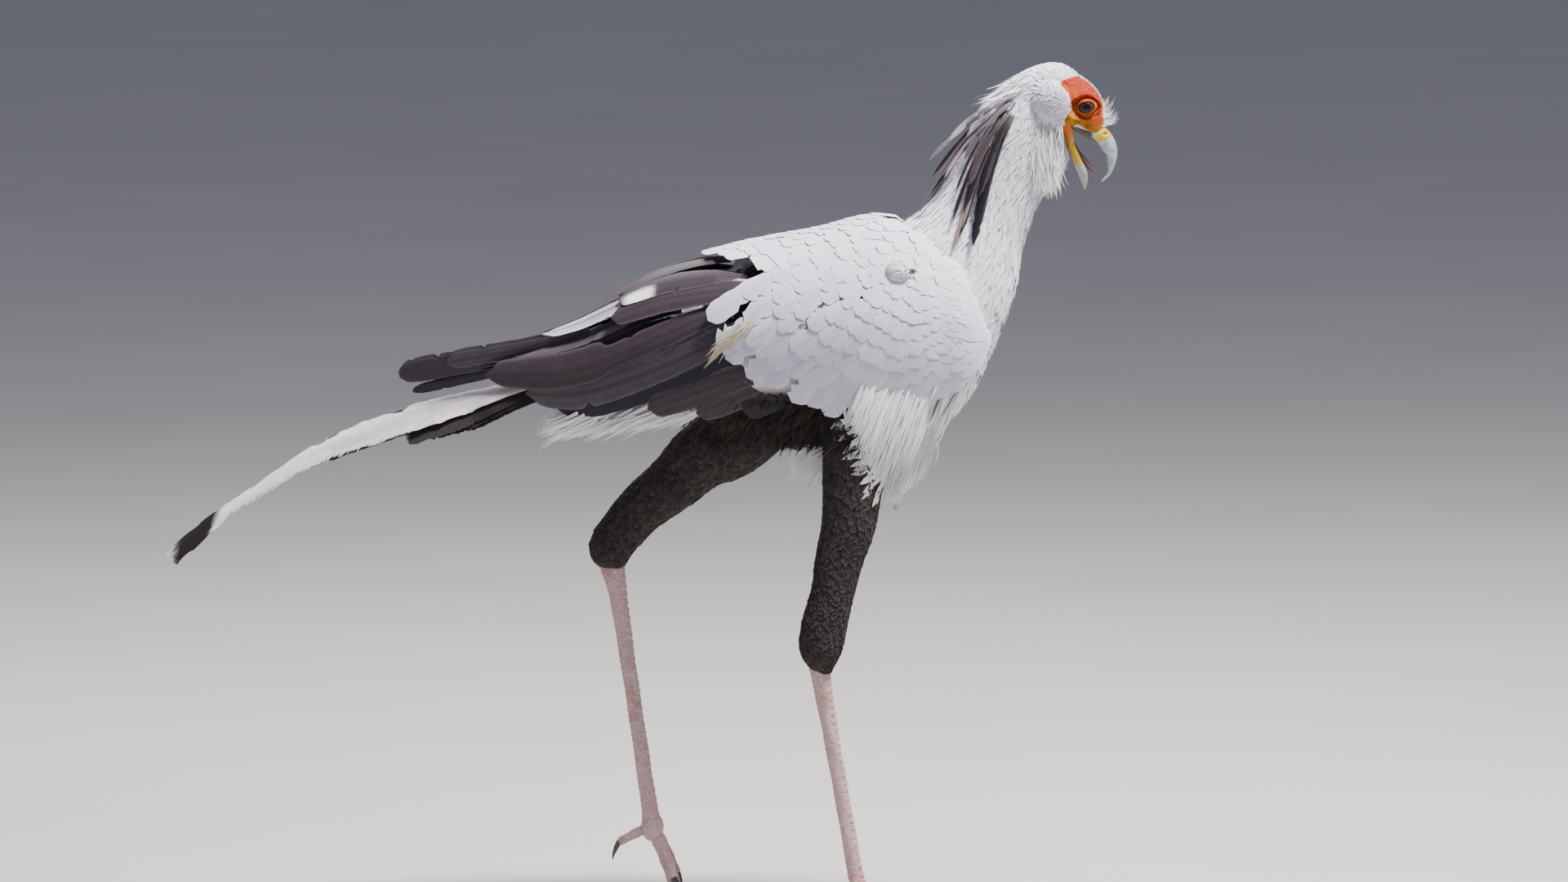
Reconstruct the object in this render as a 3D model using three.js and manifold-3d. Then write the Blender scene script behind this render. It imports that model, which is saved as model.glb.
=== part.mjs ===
// A secretary bird in mid stride, life size: long black-trousered legs, hanging crest, open hooked bill.
// Millimetres. +X is ahead of the bird, +Y its left, +Z up, and the floor is z = 0.
import * as THREE from "three";
import { mergeVertices } from "three/addons/utils/BufferGeometryUtils.js";
import Module from "manifold-3d";

const wasm = await Module();
wasm.setup();

// Room kept between two parts that touch.
const seam = 0.3;
const right = -1;
const left = 1;
const sideName = (side) => (side === right ? "right" : "left");
const degrees = THREE.MathUtils.degToRad;
const mix = THREE.MathUtils.lerp;
const wave = (i, rate) => Math.sin(i * rate);

// Materials
const finish = (color, roughness) => new THREE.MeshStandardMaterial({ color, roughness, metalness: 0 });
const plumage = finish("#e6e3ea", 0.85);
const flightBlack = finish("#2c262b", 0.7);
const trouserBlack = finish("#1d1a1c", 0.9);
const crestBlack = finish("#2a272c", 0.75);
const tailGrey = finish("#c4bcbc", 0.75);
const bareSkin = finish("#e0661c", 0.55);
const cereYellow = finish("#dcc22c", 0.5);
const horn = finish("#9aa3b2", 0.35);
const eyeDark = finish("#241c1c", 0.08);
const tonguePink = finish("#6b4a4c", 0.5);
const legSkin = finish("#bd9a9f", 0.65);
const clawDark = finish("#3a3436", 0.4);

// Solids from three.js geometry

// Rows of [at, value, value ...] become one smooth function of at.
function smoothTable(rows) {
  const positions = rows.map((row) => row[0]);
  const values = rows.flatMap((row) => row.slice(1));
  const curve = new THREE.CubicInterpolant(positions, values, rows[0].length - 1);
  const last = positions.length - 1;
  return (at) => Array.from(curve.evaluate(THREE.MathUtils.clamp(at, positions[0], positions[last])));
}

function solidOf(geometry) {
  geometry.deleteAttribute("normal");
  geometry.deleteAttribute("uv");
  const merged = mergeVertices(geometry, 1e-3);
  const points = merged.attributes.position.array;
  const corners = new Uint32Array(merged.index.array);
  const build = () => new wasm.Manifold(new wasm.Mesh({ numProp: 3, vertProperties: points, triVerts: corners }));
  const made = build();
  if (made.volume() > 0) return made;
  for (let i = 0; i < corners.length; i += 3) {
    [corners[i + 1], corners[i + 2]] = [corners[i + 2], corners[i + 1]];
  }
  return build();
}

// Moves each vertex of a unit cylinder or ball: along is 0 to 1 on its axis, reach 0 to 1 from that axis.
function remould(geometry, place) {
  const points = geometry.attributes.position;
  for (let i = 0; i < points.count; i += 1) {
    const reach = Math.hypot(points.getX(i), points.getZ(i));
    const turn = Math.round(Math.atan2(points.getZ(i), points.getX(i)) * 1e6) / 1e6;
    const spot = place(points.getY(i), turn, reach);
    points.setXYZ(i, spot.x, spot.y, spot.z);
  }
  return geometry;
}

// A body along a path. size(t) gives half sizes: wide sideways, over and under along the path's upward normal.
function tube({ path, size, sides = 12, rows = 8, sideways = new THREE.Vector3(0, 1, 0), grow = 0 }) {
  const shape = new THREE.CylinderGeometry(1, 1, 2, sides, rows - 1);
  return solidOf(
    remould(shape, (height, turn, reach) => {
      const t = THREE.MathUtils.clamp((1 - height) / 2, 0, 1);
      const ahead = path.getTangent(t);
      const across = sideways.clone().addScaledVector(ahead, -sideways.dot(ahead)).normalize();
      const up = ahead.clone().cross(across);
      const { wide, over, under } = size(t);
      const rise = Math.sin(turn) > 0 ? over : under;
      const ends = height > 0.999 ? -grow : height < -0.999 ? grow : 0;
      return path
        .getPoint(t)
        .addScaledVector(across, Math.cos(turn) * reach * (wide + grow))
        .addScaledVector(up, Math.sin(turn) * reach * (rise + grow))
        .addScaledVector(ahead, ends);
    }),
  );
}

function ball({ at, size, pitch = 0, sides = 12, rows = 8, grow = 0 }) {
  const shape = new THREE.SphereGeometry(1, sides, rows);
  shape.rotateX(Math.PI / 2);
  shape.scale(size[0] + grow, size[1] + grow, size[2] + grow);
  shape.rotateY(pitch);
  shape.translate(at.x, at.y, at.z);
  return solidOf(shape);
}

// A thin sheet of cells, alike on both faces. place(along, across, face) gives a corner: face is 1 outside, -1 inside.
function sheet({ rows, cells, place }) {
  const grid = new THREE.PlaneGeometry(1, 1, cells, rows);
  const flat = grid.attributes.position;
  const count = flat.count;
  const points = new Float32Array(count * 6);
  for (let i = 0; i < count; i += 1) {
    const along = 0.5 - flat.getY(i);
    const across = flat.getX(i) * 2;
    place(along, across, 1).toArray(points, i * 3);
    place(along, across, -1).toArray(points, (count + i) * 3);
  }
  const outside = Array.from(grid.index.array);
  const corners = [...outside];
  for (let i = 0; i < outside.length; i += 3) {
    corners.push(count + outside[i], count + outside[i + 2], count + outside[i + 1]);
  }
  const rim = [];
  const at = (row, cell) => row * (cells + 1) + cell;
  for (let cell = 0; cell < cells; cell += 1) rim.push(at(0, cell));
  for (let row = 0; row < rows; row += 1) rim.push(at(row, cells));
  for (let cell = cells; cell > 0; cell -= 1) rim.push(at(rows, cell));
  for (let row = rows; row > 0; row -= 1) rim.push(at(row, 0));
  rim.forEach((here, i) => {
    const next = rim[(i + 1) % rim.length];
    corners.push(here, next, count + next, here, count + next, count + here);
  });
  const geometry = new THREE.BufferGeometry();
  geometry.setAttribute("position", new THREE.BufferAttribute(points, 3));
  geometry.setIndex(corners);
  return solidOf(geometry);
}

const union = (solids) => wasm.Manifold.union(solids);

// The largest closed surface of a solid, without slivers.
function whole(solid) {
  const pieces = solid.simplify(0.09).decompose();
  return pieces.sort((a, b) => b.volume() - a.volume())[0];
}

// Keeps what lies ahead of a plane given by a point and a direction.
function ahead(solid, point, direction, room = seam / 2) {
  const facing = direction.clone().normalize();
  return solid.trimByPlane(facing.toArray(), facing.dot(point) + room);
}

const behind = (solid, point, direction) => ahead(solid, point, direction.clone().negate());
const aboveFloor = (solid) => solid.trimByPlane([0, 0, 1], 0);

const bird = new THREE.Group();

function addPart(name, solid, material) {
  const mesh = whole(solid).getMesh();
  const geometry = new THREE.BufferGeometry();
  geometry.setAttribute("position", new THREE.BufferAttribute(Float32Array.from(mesh.vertProperties), 3));
  geometry.setIndex(new THREE.BufferAttribute(mesh.triVerts, 1));
  geometry.computeVertexNormals();
  const part = new THREE.Mesh(geometry, material);
  part.name = name;
  bird.add(part);
}

// Trunk and neck: one skin from the tail root over the back and up the neck.
// At, centre x and z, half width, height above the centre line, depth below it.
const trunkShape = smoothTable([
  [0, -78, 612, 14, 10, 14],
  [0.08, -40, 622, 24, 24, 46],
  [0.2, 30, 636, 42, 46, 88],
  [0.32, 110, 651, 60, 76, 124],
  [0.44, 190, 662, 76, 92, 156],
  [0.54, 262, 690, 78, 84, 162],
  [0.63, 315, 731, 60, 58, 115],
  [0.72, 350, 781, 42, 38, 82],
  [0.81, 376, 828, 35, 36, 72],
  [0.9, 402, 872, 31, 44, 60],
  [1, 432, 906, 26, 37, 30],
]);

class TrunkLine extends THREE.Curve {
  getPoint(t) {
    const [x, z] = trunkShape(t);
    return new THREE.Vector3(x, 0, z);
  }
}

function trunkSkin(grow = 0) {
  const size = (t) => {
    const [, , wide, over, under] = trunkShape(t);
    return { wide, over, under };
  };
  return tube({ path: new TrunkLine(), size, sides: 16, rows: 17, grow });
}

// Breast feathers hang in a point ahead of the thighs.
function breastTuft(grow = 0) {
  const path = new THREE.CatmullRomCurve3([
    new THREE.Vector3(330, 0, 640),
    new THREE.Vector3(318, 0, 560),
    new THREE.Vector3(298, 0, 500),
    new THREE.Vector3(277, 0, 452),
  ]);
  const shape = smoothTable([
    [0, 40, 40, 40],
    [0.35, 54, 28, 44],
    [0.7, 34, 14, 26],
    [1, 5, 4, 4],
  ]);
  const size = (t) => {
    const [wide, over, under] = shape(t);
    return { wide, over, under };
  };
  return tube({ path, size, sides: 10, rows: 6, grow });
}

// Head, in its own frame: forward runs from the back of the skull to the bill, up to the crown.
const headStart = new THREE.Vector3(415, 0, 921);
const headPitch = degrees(36);
const headForward = new THREE.Vector3(Math.cos(headPitch), 0, -Math.sin(headPitch));
const headUp = new THREE.Vector3(Math.sin(headPitch), 0, Math.cos(headPitch));
const headPoint = (forward, up, y = 0) =>
  headStart.clone().addScaledVector(headForward, forward).addScaledVector(headUp, up).setY(y);

// Forward, centre height, half width, above, below.
const skullShape = smoothTable([
  [-14, -4, 8, 8, 8],
  [0, -8, 21, 36, 28],
  [20, 0, 26.5, 46, 34],
  [45, 2, 28.5, 46, 32],
  [65, 6, 25, 41.5, 15],
  [82, 10, 19, 30, 12.5],
  [97, 10, 12, 13, 11],
  [105, 8, 5, 5, 5],
]);

class SkullLine extends THREE.Curve {
  getPoint(t) {
    const forward = mix(-14, 105, t);
    return headPoint(forward, skullShape(forward)[0]);
  }
  getTangent() {
    return headForward.clone();
  }
}

const skull = (grow = 0) => tube({
  grow,
  path: new SkullLine(),
  size: (t) => {
    const [, wide, over, under] = skullShape(mix(-14, 105, t));
    return { wide, over, under };
  },
  sides: 12,
  rows: 9,
});

// A path with half sizes at each of its points.
function shapedPath(points, sizes) {
  const path = new THREE.CatmullRomCurve3(points, false, "centripetal");
  const rows = sizes.map((row, i) => [i / (sizes.length - 1), ...row]);
  const table = smoothTable(rows);
  const size = (t) => {
    const [wide, over, under] = table(t);
    return { wide, over, under };
  };
  return { path, size };
}

// Upper bill: rows of forward, up, half width, above, below, from the gape to the tip of the hook.
const billRows = [
  [60, -1.5, 15, 2, 2.5],
  [78, 0, 13.5, 5, 3.5],
  [95, 4, 11.5, 12.5, 7],
  [106, 5, 10, 11.5, 8],
  [117, 1, 8, 10, 7.5],
  [125, -5, 6, 7.5, 6.5],
  [131, -13, 4, 4.5, 4],
  [134.5, -22, 2.4, 2.2, 2],
  [133.5, -33, 0.7, 0.7, 0.7],
];
const upperBill = (grow = 0) =>
  tube({
    ...shapedPath(
      billRows.map(([forward, up]) => headPoint(forward, up)),
      billRows.map((row) => row.slice(2)),
    ),
    sides: 10,
    rows: 12,
    grow,
  });

// Lower bill, hanging open: x, z, half width, mouth side, throat side.
const jawRows = [
  [459, 881, 15.5, 5, 5],
  [466, 862, 13, 4.4, 5],
  [474, 841, 9.5, 4.2, 4.8],
  [481, 822, 6.5, 5, 5],
  [484, 805, 1.2, 0.9, 0.9],
];
const lowerBill = (grow = 0) =>
  tube({
    ...shapedPath(
      jawRows.map(([x, z]) => new THREE.Vector3(x, 0, z)),
      jawRows.map((row) => row.slice(2)),
    ),
    sides: 10,
    rows: 7,
    grow,
  });
const jawTrough = (grow = 0) => tube({
  ...shapedPath(
    [
      new THREE.Vector3(466, 0, 884),
      new THREE.Vector3(472, 0, 862),
      new THREE.Vector3(480, 0, 840),
      new THREE.Vector3(487, 0, 822),
    ],
    [
      [12, 6, 4.5],
      [10, 6, 4],
      [7, 6, 4],
      [2.5, 2, 2],
    ],
  ),
  sides: 10,
  rows: 6,
  grow,
});
const tongueSolid = tube({
  ...shapedPath(
    [
      new THREE.Vector3(465, 0, 871),
      new THREE.Vector3(474, 0, 850),
      new THREE.Vector3(484, 0, 836),
      new THREE.Vector3(498, 0, 819),
    ],
    [
      [6, 2, 2],
      [5, 1.8, 1.8],
      [3.6, 1.6, 1.6],
      [1, 0.7, 0.7],
    ],
  ),
  sides: 7,
  rows: 5,
});

// Eye, lids and the bare face patch round them.
const eyeRadius = 11;
const eyeCentre = (side) => headPoint(70.5, 24, side * 12.5);
const eyeball = (side, grow = 0) => {
  const size = [eyeRadius, eyeRadius, eyeRadius];
  return ball({ at: eyeCentre(side), size, sides: 12, rows: 7, grow });
};
const lidBall = (side) =>
  ball({ at: eyeCentre(side), size: [13.4, 12.6, 12.6], pitch: headPitch, sides: 12, rows: 6 });
const lidOpening = (side) =>
  ball({ at: headPoint(70.5, 23.5, side * 26), size: [8.2, 10, 5.8], pitch: headPitch, sides: 10, rows: 4 });

// The patch's outline, forward and up, from its rear point over the brow to the bill and back along the gape.
const patchOutline = [
  [34, 25],
  [44, 38],
  [60, 43],
  [76, 40],
  [88, 30],
  [98, 15],
  [99, 4],
  [84, -1.5],
  [63, -6],
  [56, 1],
  [57, 10],
  [48, 19],
];

function patchPrism(side, grow) {
  const ring = [...patchOutline, patchOutline[0]];
  const rim = new THREE.SplineCurve(ring.map((point) => new THREE.Vector2(...point)));
  const corners = rim.getPoints(12).slice(0, -1);
  const grown = corners.map((corner, i) => {
    const before = corners.at(i - 1);
    const after = corners[(i + 1) % corners.length];
    const along = after.clone().sub(before).normalize();
    return corner.clone().add(new THREE.Vector2(-along.y, along.x).multiplyScalar(grow * 1.15));
  });
  const outline = new THREE.Shape(grown);
  const deep = 40;
  const solid = new THREE.ExtrudeGeometry(outline, { depth: deep, bevelEnabled: false, steps: 1 });
  const start = side === right ? -9 + grow - deep : 9 - grow;
  const frame = new THREE.Matrix4().makeBasis(headForward, headUp, new THREE.Vector3(0, 1, 0));
  solid.translate(0, 0, start);
  solid.applyMatrix4(frame);
  solid.translate(headStart.x, headStart.y, headStart.z);
  return solidOf(solid);
}

// Shaggy throat feathers behind the lower bill.
const throat = (grow = 0) =>
  tube({
    ...shapedPath(
      [
        new THREE.Vector3(438, 0, 886),
        new THREE.Vector3(443, 0, 862),
        new THREE.Vector3(449, 0, 842),
        new THREE.Vector3(447, 0, 822),
        new THREE.Vector3(434, 0, 800),
        new THREE.Vector3(420, 0, 776),
      ],
      [
        [21, 18, 18],
        [21, 22, 20],
        [19, 25, 20],
        [15, 17, 20],
        [11, 8, 14],
        [4, 3, 4],
      ],
    ),
    sides: 10,
    rows: 7,
    grow,
  });
const browRidge = (side) =>
  ball({ at: headPoint(70, 34, side * 17), size: [17, 6, 5], pitch: headPitch, sides: 8, rows: 5 });
const cheek = (side) =>
  ball({ at: headPoint(38, 6, side * 17), size: [21, 14, 21], pitch: headPitch, sides: 10, rows: 6 });
const nostril = (side) => {
  const at = headPoint(106.5, 10, side * 9.6);
  return ball({ at, size: [4.2, 3, 1.7], pitch: headPitch - degrees(40), sides: 8, rows: 6 });
};

// Half width of the trunk skin at a point seen from the side.
function skinHalfWidth(x, z) {
  const line = new TrunkLine();
  let best = 0;
  let nearest = Infinity;
  const steps = 120;
  for (let i = 0; i <= steps; i += 1) {
    const t = i / steps;
    const [, , wide, over, under] = trunkShape(t);
    const out = new THREE.Vector3(x, 0, z).sub(line.getPoint(t));
    const along = line.getTangent(t);
    const off = Math.abs(out.dot(along));
    const rise = along.x * out.z - along.z * out.x;
    const share = rise > 0 ? rise / over : -rise / under;
    if (off < nearest && share < 1) {
      nearest = off;
      best = wide * Math.sqrt(1 - share * share);
    }
  }
  return nearest < 8 ? best : 0;
}

// Crest: long narrow feathers with broad ends, rooted round the nape. Each row gives root x, z and tip x, z,
// half width, how far the tip stands off the middle plane where the skin is narrower, and its layer.
const crestRows = [
  [378, 904, 310, 838, 3.4, 8, 1],
  [388, 898, 302, 782, 3.6, 24, 1],
  [396, 892, 310, 768, 4.2, 30, 2],
  [400, 890, 341, 771, 4.4, 32, 4],
  [404, 888, 347, 752, 5, 36, 3],
  [402, 880, 343, 738, 4.4, 38, 2],
  [402, 884, 362, 741, 6.2, 38, 5],
  [401, 882, 376, 758, 4.6, 38, 3],
];
const crestWidth = smoothTable([
  [0, 0.35],
  [0.35, 0.55],
  [0.8, 1],
  [1, 0.3],
]);

function crestFeather(side, row, i) {
  const [rootX, rootZ, tipX, tipZ, half, stand, layer] = row;
  const slip = side === left ? 4 * wave(i, 2.7) : 0;
  const lift = 1.3 + layer * 1.15;
  const spine = [0, 0.2, 0.45, 0.72, 1].map((t) => {
    const x = mix(rootX, tipX + slip, t) - 5 * Math.sin(Math.PI * t);
    const z = mix(rootZ, tipZ - slip, t) + 3 * Math.sin(Math.PI * t);
    const skin = Math.max(skinHalfWidth(x, z), skinHalfWidth(x + 3, z - 3));
    const out = t === 0 ? skin - 3 : Math.max(skin + lift, mix(skin, stand, t));
    return new THREE.Vector3(x, side * out, z);
  });
  const path = new THREE.CatmullRomCurve3(spine, false, "centripetal");
  const outward = new THREE.Vector3(-0.45, side, 0.3).normalize();
  return sheet({
    rows: 3,
    cells: 1,
    place: (along, across, face) => {
      const t = along ** 1.5;
      const tangent = path.getTangent(t);
      const sideways = tangent.clone().cross(outward).normalize();
      const normal = sideways.clone().cross(tangent);
      return path
        .getPoint(t)
        .addScaledVector(sideways, across * half * crestWidth(t)[0])
        .addScaledVector(normal, face * 0.35);
    },
  });
}

// Wing: its folded outer surface is given by how far along the body (x) and how far round (around):
// 1 at the middle of the back, 0 at the widest line, -1 at the free lower edge.
const wingShape = smoothTable([
  [-290, 600, 12, 6],
  [-268, 601, 18, 10],
  [-170, 610, 32, 28],
  [-80, 614, 50, 56],
  [10, 636, 72, 86],
  [100, 651, 92, 98],
  [190, 656, 104, 109],
  [262, 658, 104, 121],
  [325, 660, 92, 102],
  [368, 652, 68, 68],
  [388, 648, 34, 34],
]);
const underTuck = 0.22;

function wingSurface(side, x, around) {
  const [middle, wide, high] = wingShape(x);
  if (around < 0) {
    const tucked = wide * (1 - underTuck * around * around);
    return new THREE.Vector3(x, side * tucked, middle + high * around);
  }
  const turn = (around * Math.PI) / 2;
  return new THREE.Vector3(x, side * wide * Math.cos(turn), middle + high * Math.sin(turn));
}

function wingNormal(side, x, around) {
  const alongX = wingSurface(side, x + 2, around).sub(wingSurface(side, x - 2, around));
  const alongRound = wingSurface(side, x, around + 0.02).sub(wingSurface(side, x, around - 0.02));
  const normal = alongX.cross(alongRound).normalize();
  return normal.y * side < 0 || (Math.abs(normal.y) < 0.1 && normal.z < 0) ? normal.negate() : normal;
}

const wingPoint = (side, x, around, height) =>
  wingSurface(side, x, around).addScaledVector(wingNormal(side, x, around), height);

// How far round a height z lies at x.
function aroundAt(x, z) {
  const [middle, , high] = wingShape(x);
  const share = THREE.MathUtils.clamp((z - middle) / high, -1.1, 0.995);
  return share < 0 ? share : Math.asin(share) / (Math.PI / 2);
}

const roundStep = (side, x, around) =>
  wingSurface(side, x, around + 0.01).distanceTo(wingSurface(side, x, around - 0.01)) / 0.02;

// Half width of a feather along its length, as a share of its widest.
const feathers = {
  blunt: smoothTable([
    [0, 0.4],
    [0.3, 0.85],
    [0.65, 1],
    [0.88, 0.8],
    [1, 0.3],
  ]),
  pointed: smoothTable([
    [0, 0.4],
    [0.3, 0.9],
    [0.6, 1],
    [0.85, 0.62],
    [1, 0.12],
  ]),
};

// One feather on the wing, from root to tip in side view, sunk by rootDepth and raised to tipHeight at its end.
function wingFeather(side, feather) {
  const { root, tip, half, rootDepth, rise, tipHeight, tilt, shape, rows, cells, settled } = feather;
  const start = { x: root[0], around: aroundAt(...root) };
  const end = { x: tip[0], around: aroundAt(...tip) };
  const line = (t) => ({
    x: mix(start.x, end.x, t),
    around: mix(start.around, end.around, t),
  });
  const lift = (t) => {
    if (t < rise.at) return mix(rootDepth, rise.to, t / rise.at);
    return mix(rise.to, tipHeight, (t - rise.at) / (1 - rise.at));
  };
  return sheet({
    rows,
    cells,
    place: (along, across, face) => {
      const t = (1 - (1 - along) ** 1.5) * (1 - 0.05 * across * across * along ** 3);
      const here = line(t);
      const step = roundStep(side, here.x, here.around);
      const runX = end.x - start.x;
      const runRound = (end.around - start.around) * step;
      const run = Math.hypot(runX, runRound);
      const reach = across * half * feathers[shape](t)[0];
      const x = here.x + (reach * runRound) / run;
      const around = here.around - (reach * runX) / run / step;
      const thick = across === 0 ? 0.85 : 0.5;
      const skin = face > 0 ? thick - 0.2 : -0.2;
      const height = lift(t) + tilt * across + skin + settled * settle(side, x, around);
      return wingPoint(side, x, around, height);
    },
  });
}

// Plate that carries the roots, between two heights off the wing surface.
function wingPlate(side, { fromX, toX, low, high, outer, inner, rows, cells }) {
  return sheet({
    rows,
    cells,
    place: (along, across, face) => {
      const x = mix(fromX, toX, along);
      const around = mix(low, high, (across + 1) / 2);
      return wingPoint(side, x, around, face > 0 ? outer(x, around) : inner);
    },
  });
}

// The line in side view where coverts give way to flight feathers.
const wingJoint = new THREE.Vector3(145, 0, 646);
const wingJointFacing = new THREE.Vector3(0.894, 0, 0.447);
const shoulder = { x: 330, z: 736 };

// Coverts stand in tiers round the shoulder. Angle in side view, then the reach of the outermost tips.
const covertReach = smoothTable([
  [188, 258],
  [197, 266],
  [207, 264],
  [217, 241],
  [228, 222],
  [240, 221],
  [247, 208],
  [257, 178],
  [270, 152],
  [280, 134],
  [292, 106],
]);
const covertTiers = [
  { count: 8, share: 0.68, length: 60, half: 17, from: 197, to: 280, rows: 2 },
  { count: 12, share: 1, length: 82, half: 18, from: 197, to: 283, rows: 3 },
];
const covertLie = 228;

// The coverts sink towards the lower rear of the wing, where fewer layers lie under them.
const covertDip = smoothTable([
  [190, 0],
  [205, -0.6],
  [228, -4.5],
  [262, -4.5],
  [290, -2],
]);

function settle(side, x, around) {
  const { z } = wingSurface(side, x, around);
  const reach = Math.hypot(x - shoulder.x, z - shoulder.z);
  const angle = (THREE.MathUtils.radToDeg(Math.atan2(z - shoulder.z, x - shoulder.x)) + 360) % 360;
  return covertDip(angle)[0] * THREE.MathUtils.smoothstep(reach, 90, 220);
}

function covertFeathers(side) {
  const made = [];
  covertTiers.forEach((tier, row) => {
    for (let i = 0; i < tier.count; i += 1) {
      const angle = mix(tier.from, tier.to, i / (tier.count - 1));
      const reach = covertReach(angle)[0] * tier.share;
      const out = degrees(angle);
      const lie = degrees(mix(angle, covertLie, 0.7));
      const tip = [shoulder.x + reach * Math.cos(out), shoulder.z + reach * Math.sin(out)];
      const shorten = mix(1, 0.6, THREE.MathUtils.smoothstep(angle, 252, 283));
      const long = tier.length * shorten * (1 + 0.06 * wave(i + row * 5, 3.1));
      const root = [tip[0] - long * Math.cos(lie), tip[1] - long * Math.sin(lie)];
      made.push(
        wingFeather(side, {
          root,
          tip,
          half: tier.half,
          rootDepth: -9,
          rise: { at: 0.34, to: -4.4 },
          tipHeight: -0.6,
          tilt: -1,
          shape: "blunt",
          rows: tier.rows,
          cells: 1,
          settled: 1,
        }),
      );
    }
  });
  return made;
}

// Shoulder feathers over the roots of the inner flight feathers: root x, z, tip x, z.
const scapularRows = [
  [212, 722, 134, 703],
  [206, 738, 92, 722],
  [188, 753, 64, 738],
];

function scapularFeathers(side) {
  return scapularRows.map(([rootX, rootZ, tipX, tipZ], i) =>
    wingFeather(side, {
      root: [rootX, rootZ],
      tip: [tipX, tipZ],
      half: 15,
      rootDepth: -12,
      rise: { at: 0.34, to: -2.4 + i * 0.7 },
      tipHeight: -0.8 + i * 0.7,
      tilt: -0.7,
      shape: "blunt",
      rows: 3,
      cells: 1,
      settled: 0,
    }),
  );
}

// Flight feathers, innermost layer first: root x, z, tip x, z, half width and outline.
const flightRows = [
  [24, 676, -272, 602, 13, "pointed"],
  [36, 690, -238, 614, 14, "pointed"],
  [48, 702, -201, 624, 14, "pointed"],
  [168, 590, 108, 563, 15, "blunt"],
  [160, 602, 56, 561, 16, "blunt"],
  [154, 620, 2, 567, 17, "blunt"],
  [140, 653, -104, 570, 18, "blunt"],
  [134, 676, -132, 582, 18, "blunt"],
  [128, 702, -177, 603, 19, "blunt"],
  [132, 716, -114, 653, 13, "blunt"],
  [134, 710, -38, 672, 18, "blunt"],
  [104, 724, -30, 690, 16, "blunt"],
  [94, 743, -68, 698, 15, "pointed"],
];
const flightLayer = 1.2;
const flightDepth = -19;

function flightFeathers(side) {
  return flightRows.map(([rootX, rootZ, tipX, tipZ, half, shape], i) =>
    wingFeather(side, {
      root: [rootX, rootZ],
      tip: [tipX, tipZ],
      half,
      rootDepth: flightDepth - 3.5 + (i > 5 ? i * flightLayer * 0.7 : 0),
      rise: { at: 0.2, to: flightDepth - 2 + i * flightLayer },
      tipHeight: flightDepth + 2 + i * flightLayer,
      tilt: -0.3,
      shape,
      rows: i > 2 && tipX < -150 ? 5 : 4,
      cells: i > 2 ? 2 : 1,
      settled: 0,
    }),
  );
}

const trunkGrown = union([trunkSkin(seam), breastTuft(seam)]);
const ownSide = (solid, side) => solid.trimByPlane([0, side, 0], 0.3);

function wing(side) {
  const front = wingPlate(side, {
    fromX: 110,
    toX: 387,
    low: -0.8,
    high: 0.93,
    outer: (x, around) => mix(-6.6, -4, THREE.MathUtils.smoothstep(x, 300, 380)) + settle(side, x, around),
    inner: -26,
    rows: 6,
    cells: 5,
  });
  const rear = wingPlate(side, {
    fromX: 10,
    toX: 200,
    low: -0.78,
    high: 0.9,
    outer: (x, around) => {
      const base = mix(-20.5, -9, THREE.MathUtils.smoothstep(around, -0.25, 0.1));
      return mix(-21, base, THREE.MathUtils.smoothstep(x, 40, 110));
    },
    inner: -27,
    rows: 4,
    cells: 6,
  });
  const under = wingPlate(side, {
    fromX: 0,
    toX: 220,
    low: -1.2,
    high: 0.98,
    outer: (x, around) => -5.7 + settle(side, x, around),
    inner: -32,
    rows: 4,
    cells: 8,
  });
  const overFlight = behind(under, wingJoint, wingJointFacing, -seam / 2);
  const small = union([...covertFeathers(side), ...scapularFeathers(side)]).subtract(overFlight);
  const coverts = union([ahead(front, wingJoint, wingJointFacing), small]).subtract(trunkGrown);
  const feathersBehind = behind(union(flightFeathers(side)), wingJoint, wingJointFacing);
  const flight = union([behind(rear, wingJoint, wingJointFacing).subtract(trunkGrown), feathersBehind]);
  return { coverts: ownSide(coverts, side), flight: ownSide(flight, side) };
}

// Room that the thighs leave for the wing's lower edge.
const wingRoom = (side) => {
  const span = { fromX: -60, toX: 386, low: -1.22, high: 0.5 };
  return wingPlate(side, { ...span, outer: () => 7, inner: -27.4, rows: 6, cells: 4 });
};

// Room that the tail leaves for the rear of the folded wing.
const tailRoom = (side) => {
  const span = { fromX: -290, toX: -44, low: -1.06, high: 0.98 };
  return wingPlate(side, { ...span, outer: () => 7, inner: -24.4, rows: 6, cells: 4 });
};

// Tail: feathers in pairs under each other, the middle pair far the longest, each side sloping like a roof.
const tailRoot = new THREE.Vector3(-84, 0, 610);
const tailLine = new THREE.CatmullRomCurve3([
  tailRoot,
  new THREE.Vector3(-170, 0, 583),
  new THREE.Vector3(-260, 0, 561),
  new THREE.Vector3(-350, 0, 521),
  new THREE.Vector3(-440, 0, 468),
  new THREE.Vector3(-522, 0, 404),
]);
const tailPairs = [
  { reach: 1, half: 14.5, fold: 34 },
  { reach: 0.59, half: 16, fold: 38 },
  { reach: 0.43, half: 17, fold: 42 },
  { reach: 0.36, half: 17, fold: 46 },
  { reach: 0.29, half: 16, fold: 50 },
];

// Tail feathers are narrow under the wings and widen behind them.
const tailSpread = smoothTable([
  [-520, 1],
  [-200, 1],
  [-150, 0.62],
  [-100, 0.4],
  [-60, 0.36],
]);
const tailTaper = {
  long: smoothTable([
    [0, 1],
    [0.35, 1],
    [0.7, 0.66],
    [0.92, 0.74],
    [1, 0.3],
  ]),
  short: smoothTable([
    [0, 1],
    [0.85, 1],
    [1, 0.4],
  ]),
};

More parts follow.
